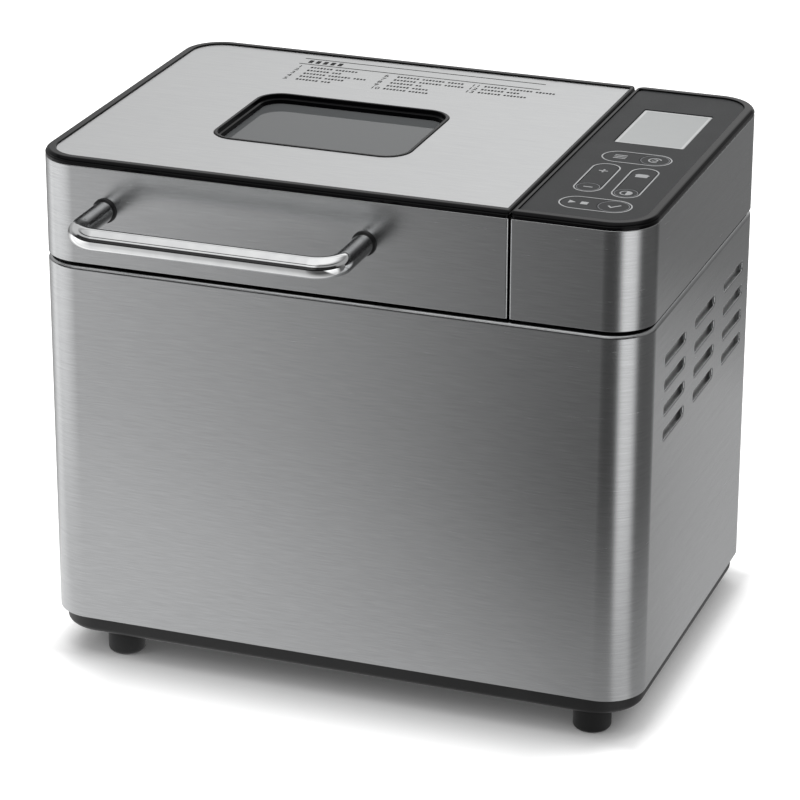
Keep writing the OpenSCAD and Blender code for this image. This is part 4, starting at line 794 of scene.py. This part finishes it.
# %% Lid plate
PLATE_Z = mm_box("lid_top_plate")[5]
PLATE_T, EDGE = 0.8, 0.35
WIN = mm_box("window_panes")
PANE_Z = WIN[5]
WIN_W, WIN_D, WIN_R = 116.0, 89.0, 15.0
window_box = around((WIN[0] + WIN[1]) / 2, (WIN[2] + WIN[3]) / 2, WIN_W, WIN_D)
arc = np.linspace(0, math.pi / 2, 6)
edge_out = (
    np.concatenate([[[0, PLATE_Z - PLATE_T]], np.column_stack([
        EDGE * (np.cos(arc) - 1), PLATE_Z - EDGE * (1 - np.sin(arc))])]),
    np.concatenate([[[1, 0]], np.column_stack([np.cos(arc), np.sin(arc)])]),
)
edge_in = (edge_out[0][::-1] * [-1, 1], edge_out[1][::-1] * [-1, 1])


def holed_plate(box, corners, hole, hole_corner):
    """A flat plate with one hole: the rows of its outer edge run on into those of the hole."""
    outer, inner = rail(box, corners, edge_out), rail(hole, [hole_corner] * 4, edge_in)
    return skin(*[np.concatenate(pair) for pair in zip(outer, inner)])


lid_inside = (X0 + BEAD_W, LID_RIGHT - SPLIT_W, Y0 + BEAD_W, Y1 - BEAD_W)
piece(
    "lid_plate", [holed_plate(lid_inside, [1.2, 18, 18, 0.8], grown(window_box, 0.2), WIN_R + 0.2)],
    steel_plate, "lid", ["lid_top_plate"],
)
print("Plate top at", round(PLATE_Z, 2), "mm")

# %% [markdown]
# ## The window
# The window frame is a deep black moulding with a step half way down, and two panes of glass lie on
# ledges in it. The frame is one profile carried round the opening. A pane is a flat slab whose rim
# has two ground edges.

# %% Window frame and panes
PANE_T, PANE_PITCH, PANE_INSET = 3.0, 7, 2.8
# Round the section: outer foot, rim, step down to the glass, upper ledge, lower ledge, inner foot
frame_profile = filleted([
    (0, PANE_Z - 10), (0, PLATE_Z + 0.4), (-1.9, PLATE_Z + 0.4), (-2.3, PANE_Z + 2.9),
    (-3.4, PANE_Z + 2.4), (-3.7, PANE_Z + 0.1), (-2.75, PANE_Z + 0.1), (-2.75, PANE_Z - 3.05),
    (-7.3, PANE_Z - 3.05), (-7.3, PANE_Z - 6.95), (-2.6, PANE_Z - 6.95), (-2.6, PANE_Z - 10),
], [0.1, 0.5, 0.5, 0.25, 0.45, 0.1, 0.05, 0.05, 0.4, 0.4, 0.05, 0.1], steps=5)
piece("window_ring", [skin(*rail(window_box, [WIN_R] * 4, frame_profile, steps=16))],
      black_abs, "lid", ["window_frame"])


def slab(box, corner, top, thickness, ground):
    """A flat slab with two ground edges. Only the outer two corners of its profile are kept, and
    the slab is closed above and below by caps."""
    steps = 3
    points, normals = filleted(
        [(0, top - thickness), (0, top), (-3, top), (-3, top - thickness)], ground, steps)
    rim = slice(0, 2 * (steps + 1))
    return skin(*rail(box, [corner] * 4, (points[rim], normals[rim]), steps=12), ring=False)


PANES = [("upper_pane", 0, smoked_glass_painted_reflection), ("lower_pane", PANE_PITCH, window_glass)]
for name, down, glass in PANES:
    pane = slab(grown(window_box, -PANE_INSET), WIN_R - PANE_INSET, PANE_Z - down, PANE_T, 0.3)
    piece(name, [pane], glass, "lid", ["window_panes"])
print("Window", WIN_W, "by", WIN_D, "mm, glass", round(PLATE_Z - PANE_Z, 2), "mm down")

# %% [markdown]
# ## The bar handle
# A 12 mm tube is bent twice and chromed, then screwed on from inside the lid with a dark collar
# under each post. The tube is a circle carried along a path of two straight posts, two arcs and the
# bar.

# %% Handle
HX0, HX1, HY0, HY1, HZ0, HZ1 = mm_box("lid_handle")
TUBE_R, BEND = (HZ1 - HZ0) / 2, 14.0
BAR_Y, BAR_Z = HY0 + TUBE_R, (HZ0 + HZ1) / 2
POST_L, POST_R = HX0 + TUBE_R, HX1 - TUBE_R


def bent_tube(radius, steps_round=40, steps_bend=16):
    """The tube's surface: path + radius * (cos b * side + sin b * up), where side lies in the
    bend's plane at a right angle to the path. The path runs from the left post's foot to the right
    one's."""
    turn = np.linspace(0, math.pi / 2, steps_bend + 1)
    cos, sin = np.cos(turn), np.sin(turn)
    first = np.column_stack([POST_L + BEND * (1 - cos), BAR_Y + BEND * (1 - sin)])
    second = np.column_stack([POST_R - BEND * (1 - sin), BAR_Y + BEND * (1 - cos)])
    path = np.concatenate([[[POST_L, HY1]], first, second, [[POST_R, HY1]]])
    side = np.concatenate([
        [[-1, 0]], np.column_stack([-cos, -sin]), np.column_stack([sin, -cos]), [[1, 0]],
    ])
    angle = np.linspace(0, 2 * math.pi, steps_round, endpoint=False)
    normal = np.stack([
        side[:, :1] * np.cos(angle), side[:, 1:] * np.cos(angle), np.sin(angle) + 0 * side[:, :1],
    ], axis=2).transpose(1, 0, 2)
    centre = np.column_stack([path, np.full(len(path), BAR_Z)])
    return skin(centre[None] + radius * normal, normal, loop=False)


piece("grip_bar", [bent_tube(TUBE_R)], chrome, "lid", ["lid_handle"])
print("Handle span", round(POST_R - POST_L, 2), "mm, tube", 2 * TUBE_R, "mm")

# %% [markdown]
# A collar is a turned ring: a small profile spun about the post's axis. It is made upright and then
# tipped forward, because the posts stand out from the lid's front.

# %% Handle collars


def lathe(profile, steps=48):
    """Turns a closed profile (radius, height) round the Z axis: (r cos a, r sin a, h)."""
    (rh, tilt), angle = profile, np.linspace(0, 2 * math.pi, steps, endpoint=False)
    r, h = rh[:, :1], rh[:, 1:]
    grid = np.stack([r * np.cos(angle), r * np.sin(angle), h + 0 * angle], axis=2)
    normals = np.stack([
        tilt[:, :1] * np.cos(angle), tilt[:, :1] * np.sin(angle), tilt[:, 1:] + 0 * angle,
    ], axis=2)
    return skin(grid, normals)


def tipped_forward(part):
    """The same part with its top to the front: (x, y, z) becomes (x, -z, y)."""
    points, normals, faces = part
    return points[:, [0, 2, 1]] * [1, -1, 1], normals[:, [0, 2, 1]] * [1, -1, 1], faces


# The ring lies 0.1 mm inside the tube, so that no gap shows between them
collar = lathe(filleted([(5.9, 0), (7, 0), (7, 1.2), (5.9, 1.2)], [0.1, 0.1, 0.45, 0.1], 4))
collars = [moved(tipped_forward(collar), (x, Y0, BAR_Z)) for x in (POST_L, POST_R)]
piece("grip_collars", collars, collar_plastic, "lid", ["handle_collars"])
print("Collars:", len(collars))

# %% [markdown]
# ## Control panel
# The panel is a satin overlay, set 0.8 mm below the bead. A square window shows the display, and
# four long openings hold two keys each: a round one, and one cut to fit round it.

# %% Panel plate with its openings
PANEL_Z = PLATE_Z
PILLS = [
    (x, y + CENTRE_Y, width, depth) for x, y, width, depth in
    [(136.8, -8.5, 37.5, 17), (125.8, -46.5, 14, 47), (147.8, -48.5, 14, 49), (138, -89, 38, 18)]
]
LCD, LCD_CORNER = (116.0, 156.0, CENTRE_Y + 16, CENTRE_Y + 78), 1.2
tower_inside = (TOWER_LEFT + SPLIT_W, X1 - BEAD_W, Y0 + BEAD_W, Y1 - BEAD_W)
overlay = piece("panel_overlay", [holed_plate(tower_inside, [18, 4.5, 0.8, 18], LCD, LCD_CORNER)],
                satin_panel, "base")
cut(overlay, [
    skin(*rail(around(*pill), [min(pill[2:]) / 2 - 0.05] * 4, upright(PANEL_Z - 3, PANEL_Z + 3),
               steps=12), ring=False)
    for pill in PILLS
])
print("Panel openings:", len(PILLS), "and one display")

# %% [markdown]
# ## Printed lines
# Ink is modelled as a film a twentieth of a millimetre thick. A film is an outline pulled up by its
# thickness; a line round an opening is a small profile carried round it.

# %% Films of ink
INK = 0.05


def film(outline):
    """A flat printed shape from a counter-clockwise outline with rounded corners."""
    points, _ = outline
    grid = np.stack([
        np.column_stack([points, np.full(len(points), z)]) for z in (PANEL_Z, PANEL_Z + INK)
    ])
    return skin(grid, np.zeros_like(grid) + [0, 0, 1], ring=False)


def bar(x, y, w, d, radius=0.15):
    """A printed bar about its middle."""
    x0, x1, y0, y1 = around(x, y, w, d)
    return film(filleted([(x0, y0), (x1, y0), (x1, y1), (x0, y1)], radius, 3))


def arc_band(x, y, radius, width, start, stop, steps=24):
    """A printed arc: two concentric arcs joined at their ends."""
    a = np.radians(np.linspace(start, stop, steps))
    outer = np.column_stack([np.cos(a), np.sin(a)]) * (radius + width / 2)
    inner = np.column_stack([np.cos(a), np.sin(a)])[::-1] * (radius - width / 2)
    points = np.concatenate([outer, inner]) + [x, y]
    return film((points, points * 0))


def ring_line(box, radius, u0, u1, low, steps):
    """A printed line round a rounded rectangle, from u0 to u1 outward."""
    profile = filleted([(u0, low), (u1, low), (u1, low + INK), (u0, low + INK)], 0.01, 1)
    return skin(*rail(box, [radius] * 4, profile, steps=steps))


print("Ink", INK, "mm thick")

# %% [markdown]
# ## The display
# The display lies half a millimetre down in its opening, under a lens of its own size. It is off,
# so it is one even grey face with a pale line printed round it.

# %% Display lens and border
LENS_Z = PANEL_Z - 0.5
BORDER_Z = LENS_Z + 0.03
piece("display_lens", [slab(grown(LCD, -0.2), 1.0, LENS_Z, 0.9, 0.12)],
      display_face, "base", ["lcd_lens"])
piece("display_border", [ring_line(LCD, LCD_CORNER, -2.0, -0.7, BORDER_Z - INK, 6)],
      pale_border, "base")
print("Display", LCD[1] - LCD[0], "by", LCD[3] - LCD[2], "mm")

# %% [markdown]
# ## Keys and their marks
# Each opening is edged by a printed line, and each key carries a plain symbol in the same ink: bars
# for the list of programs, a swirl for kneading, plus and minus, a loaf, a shade of crust, play and
# stop, and a tick. The symbols ride on their keys, so they go down with them.

# %% Where the keys' marks go
KEYS = ["menu_key", "knead_key", "later_key", "earlier_key", "loaf_key", "crust_key", "start_key",
        "confirm_key"]


def key_place(number):
    """Middle of a key's mark. An odd key is the round one at the right or front end of its opening,
    an even one fills the rest."""
    x, y, width, depth = PILLS[number // 2]
    wide, shift = width > depth, (max(width, depth) - min(width, depth)) / 2
    if number % 2:
        return (x + shift, y) if wide else (x, y - shift)
    back = max(width, depth) / 4
    return (x - back, y) if wide else (x, y + back)


outlines = [ring_line(around(*p), min(p[2:]) / 2, 0.15, 1.0, PANEL_Z, 12) for p in PILLS]
piece("pill_outlines", outlines, pale_print, "base")
print("Key marks at", [tuple(round(float(v), 1) for v in key_place(n)) for n in range(len(KEYS))])

# %% [markdown]
# The symbols are drawn in millimetres about the middle of their key. Loaf, play and tick are
# outlines with slightly rounded corners; the others are bars and arcs.

# %% Symbols of the keys
LOAF = [(-3.4, -2.4), (3.4, -2.4), (3.4, 0.2), (4.1, 1.2), (2.4, 2.8), (-2.4, 2.8), (-4.1, 1.2),
        (-3.4, 0.2)]
PLAY = [(-5.2, -2.4), (-1.2, 0), (-5.2, 2.4)]
TICK = [(-3.4, 0.1), (-1.1, -2.7), (3.7, 2.3), (2.9, 3.0), (-1.1, -1.2), (-2.6, 0.8)]


def drawn(outline, x, y, radius, steps=3):
    """An outline printed about a point, its corners rounded."""
    return film(filleted([(x + dx, y + dy) for dx, dy in outline], radius, steps))


def symbol(number):
    """The films of one key's symbol."""
    x, y = key_place(number)
    return {
        "menu_key": lambda: [bar(x, y + dy, 7, 1.0) for dy in (-2.4, 0, 2.4)],
        "knead_key": lambda: [arc_band(x, y, 3.4, 0.9, 20, 300),
                              arc_band(x, y, 1.4, 0.8, 200, 480)],
        "later_key": lambda: [bar(x, y, 5, 1.0), bar(x, y - 1.75, 1.0, 1.5),
                              bar(x, y + 1.75, 1.0, 1.5)],
        "earlier_key": lambda: [bar(x, y, 5, 1.0)],
        "loaf_key": lambda: [drawn(LOAF, x, y, 0.5)],
        "crust_key": lambda: [arc_band(x, y, 3.1, 0.8, 0, 359, 40),
                              arc_band(x, y, 1.35, 2.6, -88, 88, 20)],
        "start_key": lambda: [drawn(PLAY, x, y, 0.25), bar(x + 3.4, y, 4.0, 4.0)],
        "confirm_key": lambda: [drawn(TICK, x, y, 0.1, 2)],
    }[KEYS[number]]()


for number, key in enumerate(KEYS):
    if number % 2:
        reach = min(PILLS[number // 2][2:]) / 2 - 0.7
        edge = arc_band(*key_place(number), reach, 0.5, 0, 359.5, 64)
        piece(key.replace("key", "edge_print"), [edge], faint_print, key)
    piece(key.replace("key", "symbol_print"), symbol(number), pale_print, key)
    frame["nodes"][key].data.materials[0] = satin_panel
print("Key marks:", len(KEYS))

# %% [markdown]
# ## Figures for the list on the lid
# Behind the window a list is printed on the plate. Its numbers are real figures: a text object is
# made a mesh, read into arrays, and then placed like any other part.

# %% Figures and bars


def figure(text, height):
    """A number as a flat mesh, its lower left corner at the origin, as points and faces. A digit is
    1 / 1.38 as high as the size of its font."""
    curve = bpy.data.curves.new("figure", "FONT")
    curve.body = text
    curve.size = height * 1.38
    holder = bpy.data.objects.new("figure", curve)
    bpy.context.scene.collection.objects.link(holder)
    graph = bpy.context.evaluated_depsgraph_get()
    mesh = bpy.data.meshes.new_from_object(holder.evaluated_get(graph))
    points = np.empty(len(mesh.vertices) * 3)
    mesh.vertices.foreach_get("co", points)
    faces = [list(face.vertices) for face in mesh.polygons]
    bpy.data.objects.remove(holder)
    bpy.data.curves.remove(curve)
    bpy.data.meshes.remove(mesh)
    return points.reshape(-1, 3), faces


def printed_figure(text, x, y, height):
    """A figure lying on the lid plate, face up."""
    points, faces = figure(text, height)
    placed = points + [x, y, PLATE_Z + INK]
    return placed, placed * 0 + [0, 0, 1], faces


def word_bars(left, y, length, height):
    """A row of small plain bars in groups, as long in all as length. It spells no words."""
    made, x, group = [], left, 0
    while x < left + length:
        made.append(bar(x + 0.65, y, 1.3, height * (1.0 if group % 3 else 1.25), 0.1))
        group += 1
        x += 3.6 if group % 7 == 0 else 2.0
    return made


print("A figure 8 has", len(figure("8", 4.2)[0]), "points")

# %% [markdown]
# ## The program list on the lid
# The list is a header between two ruled lines, and thirteen numbered rows in three columns. Plain
# bars stand for words, one row of them for each entry.

# %% Printed list
COLUMNS = [
    (-97, [30, 21, 38, 26, 20]), (-43, [40, 42, 19, 24, 27]), (10.5, [42, 22, 31]),
]
ROW_TOP, ROW_PITCH, FIGURE_H, BAR_H = CENTRE_Y + 86.5, 6, 4.2, 2.0
figures, bars = [], []
for left, lengths in COLUMNS:
    for row, length in enumerate(lengths):
        y = ROW_TOP - row * ROW_PITCH
        number = str(len(figures) + 1)
        figures.append(printed_figure(number, left - 1.5, y - FIGURE_H / 2, FIGURE_H))
        bars += word_bars(left + 6.5, y, length, BAR_H)
rules = [bar(-25.5, CENTRE_Y + y, 149, 0.9, 0.1) for y in (102.5, 92.0)]
header = [bar(-94.5 + 4.6 * i, CENTRE_Y + 97.2, 2.6, 5.2, 0.3) for i in range(5)]
piece("program_list", figures + bars + rules + header, dark_print, "lid")
print("Rows printed:", len(figures))

# %% [markdown]
# ## Feet
# Four rubber feet are turned shapes with a rounded lower edge and a recess for the screw. Like the
# collars, they are a profile spun about an upright axis.

# %% Feet
foot_profile = filleted([
    (2.2, 9), (5, 9), (5, 0), (10.75, 0), (10.75, 14), (2.2, 14),
], [0.3, 0.4, 0.8, 2.5, 0.4, 0.2], steps=6)
FEET = [(x, CENTRE_Y + y) for x in (-133, 147) for y in (-101, 101)]
piece("rubber_feet", [moved(lathe(foot_profile), (x, y, 0)) for x, y in FEET],
      foot_rubber, "base", ["feet"])
print("Feet:", len(FEET))

# %% [markdown]
# ## Levels of light as curves
# Brushed steel shows what stands round it, so the studio has two faces: what the camera and matt
# surfaces see is plain and pale, and what mirrors see falls off into the dark in front, as a real
# studio does beyond its lamps. Both are drawn with a few Math nodes, and with a table of levels
# that a colour ramp follows.

# %% Helpers for levels


def maths(tree, operation, a, b=0.0):
    """One Math node on two values or sockets."""
    return add(tree, "ShaderNodeMath", {"operation": operation}, in0=a, in1=b).outputs[0]


def times(tree, *factors):
    """The product of two or more values or sockets."""
    product = factors[0]
    for factor in factors[1:]:
        product = maths(tree, "MULTIPLY", product, factor)
    return product


def length_of(tree, a, b):
    """Length of the flat vector (a, b): the square root of a * a + b * b."""
    return maths(tree, "SQRT", maths(tree, "ADD", times(tree, a, a), times(tree, b, b)))


def smooth_step(tree, value, start, stop, low, high):
    """A smooth step from low to high as value goes from start to stop."""
    return add(tree, "ShaderNodeMapRange", {"interpolation_type": "SMOOTHSTEP"}, Value=value,
               From_Min=start, From_Max=stop, To_Min=low, To_Max=high).outputs[0]


def blend(tree, share, first, second):
    """Goes from the first value to the second as share goes from 0 to 1."""
    return add(tree, "ShaderNodeMix", {"data_type": "FLOAT"}, in0=share, in2=first,
               in3=second).outputs[0]


def level_curve(tree, value, table):
    """A grey level that follows a table of (value, level) pairs, with straight lines between."""
    first, last = table[0][0], table[-1][0]
    curve = add(tree, "ShaderNodeValToRGB", Fac=between(tree, value, 0, 1, first, last))
    stops = curve.color_ramp.elements
    for place, _ in table[1:-1]:
        stops.new((place - first) / (last - first))
    for stop, (place, level) in zip(stops, table):
        stop.position = (place - first) / (last - first)
        stop.color = (level, level, level, 1)
    return curve.outputs[0]


WHITE = linear("#ffffff")
print("Level helpers ready")

# %% [markdown]
# ## The floor
# The floor is one flat sheet of matt studio paper, far wider than the view, so that its edge never
# shows. The paper comes first, and what mirrors and the camera see on it follows in two more steps.

# %% Floor sheet and paper
FLOOR_HALF = 6.0
floor_mesh = bpy.data.meshes.new("studio_floor")
floor_mesh.from_pydata([
    (-FLOOR_HALF, -FLOOR_HALF, 0), (FLOOR_HALF, -FLOOR_HALF, 0),
    (FLOOR_HALF, FLOOR_HALF, 0), (-FLOOR_HALF, FLOOR_HALF, 0),
], [], [(0, 1, 2, 3)])
floor = bpy.data.objects.new("studio_floor", floor_mesh)
bpy.context.scene.collection.objects.link(floor)
# Matt paper: near white, with no gloss of its own, so a shadow lies on it softly
floor_paper, tree, paper = material("studio_paper")
paper.inputs["Base Color"].default_value = linear("#f2f2f2")
paper.inputs["Roughness"].default_value = 0.9
paper.inputs["Specular IOR Level"].default_value = 0.1
floor_mesh.materials.append(floor_paper)
rays = add(tree, "ShaderNodeLightPath").outputs
coordinates = add(tree, "ShaderNodeTexCoord").outputs["Object"]
where = add(tree, "ShaderNodeSeparateXYZ", Vector=coordinates).outputs
print("Floor", 2 * FLOOR_HALF, "m wide")

# %% [markdown]
# What steel mirrors from the floor depends on the bearing from the body's rounded front right
# corner. Zero degrees points right, 90 to the back and minus 90 straight out of the front. The dark
# stretch gives the deep tone of the front's right half, and the pale one beside it the bright
# stripe down the corner. A second table says how much of the level is left at each distance from
# the front to the back, in metres. Close to the corner itself the floor is an even grey.

# %% What a mirror sees on the floor
MIRRORED_LEVELS = [
    (-180, 0.84), (-168, 0.82), (-150, 0.65), (-128, 0.38), (-110, 0.13), (-95, 0.06), (-62, 0.06),
    (-50, 0.84), (-20, 0.84), (-4, 0.10), (54, 0.12), (72, 0.42), (100, 0.46), (150, 0.25),
    (166, 0.5), (174, 0.84), (180, 0.84),
]
DEPTH_LEVELS = [
    (-1.7, 0.02), (-1.25, 0.96), (-0.85, 1.0), (-0.45, 0.76), (-0.30, 0.74), (-0.13, 0.60),
    (-0.09, 0.74), (0.42, 0.74), (0.66, 0.33),
]
FAR_GAIN, NEAR_LEVEL, NEAR_SHARE, NEAR_REACH = 1.75, 0.55, 0.7, (0.02, 0.40)
out_x = maths(tree, "SUBTRACT", where[0], (X1 - ROUND) * MM)
out_y = maths(tree, "SUBTRACT", where[1], (Y0 + ROUND) * MM)
bearing = times(tree, maths(tree, "ARCTAN2", out_y, out_x), 180 / math.pi)
to_the_left = smooth_step(tree, where[0], -0.65, -0.30, 1.2, 1.0)
sector = times(tree, level_curve(tree, bearing, MIRRORED_LEVELS), to_the_left, FAR_GAIN,
               level_curve(tree, where[1], DEPTH_LEVELS))
near = smooth_step(tree, length_of(tree, out_x, out_y), *NEAR_REACH, 1.0, 0.0)
mirror_level = blend(tree, times(tree, near, NEAR_SHARE), sector, NEAR_LEVEL)
mirrored = add(tree, "ShaderNodeEmission", Color=WHITE, Strength=mirror_level)
print("Bearings:", len(MIRRORED_LEVELS), "depths:", len(DEPTH_LEVELS))

# %% [markdown]
# The camera should see the floor as white, with only the soft shadow close to the body. So a light
# of its own is laid over the paper for the camera alone, and it fades in with the distance from the
# body's outline. Where it has not yet faded in, the paper stays grey, so the shadow near the body
# is partly real and partly painted shadow, its width set by the fade. Beside the body it fades in
# faster, which paints the shadow narrower there.

# %% What the camera sees on the floor
LIFT = 0.75
beside = [
    maths(tree, "MAXIMUM", maths(tree, "SUBTRACT", maths(tree, "ABSOLUTE", middle), half))
    for middle, half in (
        (where[0], X1 * MM),
        (maths(tree, "SUBTRACT", where[1], CENTRE_Y * MM), (Y1 - Y0) / 2 * MM),
    )
]
sideways = maths(tree, "ABSOLUTE", where[0])
# Quicker fade beside the body: a painted, narrower shadow there
faster = smooth_step(tree, sideways, 0.12, 0.19, 1.0, 2.6)
head_start = smooth_step(tree, sideways, 0.150, 0.178, 0.0, 0.022)
distance = maths(tree, "ADD", times(tree, length_of(tree, *beside), faster), head_start)
lift = smooth_step(tree, distance, -0.010, 0.064, 0.0, LIFT)
seen = add(tree, "ShaderNodeEmission", Color=WHITE,
           Strength=times(tree, rays["Is Camera Ray"], lift))
both = add(tree, "ShaderNodeAddShader", in0=paper.outputs[0], in1=seen.outputs[0])
choice = add(tree, "ShaderNodeMixShader", in0=rays["Is Glossy Ray"], in1=both.outputs[0],
             in2=mirrored.outputs[0])
out = next(node for node in tree.nodes if node.type == "OUTPUT_MATERIAL")
tree.links.new(choice.outputs[0], out.inputs[0])
print("Floor material nodes:", len(tree.nodes))

# %% [markdown]
# ## The air
# The world does for the upper half what the floor does for the lower. Mirrors see bands by height,
# a pale ceiling, and darker air low in front, to the right and to the left. Matt surfaces see one
# soft grey, and the camera sees white.

# %% World
OVERHEAD_BANDS = [(0.14, 0.0), (0.34, 1.0), (0.60, 1.0), (0.63, 0.1), (0.69, 0.1), (0.73, 1.0)]
OVERHEAD_GAIN, SOFT_LEVEL = 1.03, 0.45
world = bpy.data.worlds.new("studio_air")
bpy.context.scene.world = world
world.use_nodes = True
tree = world.node_tree
tree.nodes.clear()
rays = add(tree, "ShaderNodeLightPath").outputs
skyward = add(tree, "ShaderNodeTexCoord").outputs["Generated"]
across, ahead, height = add(tree, "ShaderNodeSeparateXYZ", Vector=skyward).outputs
low_front = times(tree, smooth_step(tree, ahead, -0.30, -0.10, 1.0, 0.0),
                  smooth_step(tree, height, 0.38, 0.46, 1.0, 0.0))
low_right = times(tree, smooth_step(tree, across, 0.05, 0.30, 0.0, 0.65),
                  smooth_step(tree, height, 0.72, 0.90, 1.0, 0.0))
left_share = smooth_step(tree, across, -0.60, -0.22, 0.55, 1.0)
overhead = times(tree, level_curve(tree, height, OVERHEAD_BANDS),
                 maths(tree, "SUBTRACT", 1.0, low_front))
backward = smooth_step(tree, ahead, -0.25, 0.35, 0.06, 0.70)
all_round = maths(tree, "ADD", times(tree, overhead, OVERHEAD_GAIN),
                  times(tree, maths(tree, "SUBTRACT", 1.0, overhead), backward))
high_light = times(tree, all_round, left_share, maths(tree, "SUBTRACT", 1.0, low_right))
plain = maths(tree, "MAXIMUM", rays["Is Camera Ray"], rays["Is Transmission Ray"])
level = blend(tree, plain, blend(tree, rays["Is Glossy Ray"], SOFT_LEVEL, high_light), 1.0)
air = add(tree, "ShaderNodeBackground", Color=WHITE, Strength=level)
tree.links.new(air.outputs[0], add(tree, "ShaderNodeOutputWorld").inputs[0])
print("World nodes:", len(tree.nodes))

# %% [markdown]
# ## The lamps
# Two square softboxes, one overhead and a little behind, one low at the left, give matt parts their
# form and the body its shadow. Mirrors don't see them, because the studio's faces are drawn
# already.

# %% Softboxes


def soft_lamp(name, at, target, size, power):
    """A square area lamp that looks at a point and is hidden from mirrors."""
    lamp = bpy.data.objects.new(name, bpy.data.lights.new(name, "AREA"))
    lamp.data.size = size
    lamp.data.energy = power
    lamp.location = at
    lamp.rotation_mode = "QUATERNION"
    lamp.rotation_quaternion = (Vector(target) - Vector(at)).to_track_quat("-Z", "Y")
    lamp.visible_glossy = False
    bpy.context.scene.collection.objects.link(lamp)
    return lamp


lamps = [
    soft_lamp("overhead_softbox", (-0.3, 0.1, 1.6), (0, 0, 0.1), 1.4, 17),
    soft_lamp("left_softbox", (-1.4, -0.9, 0.9), (0, 0, 0.15), 0.9, 5),
]
print("Lamps:", [lamp.name for lamp in lamps])
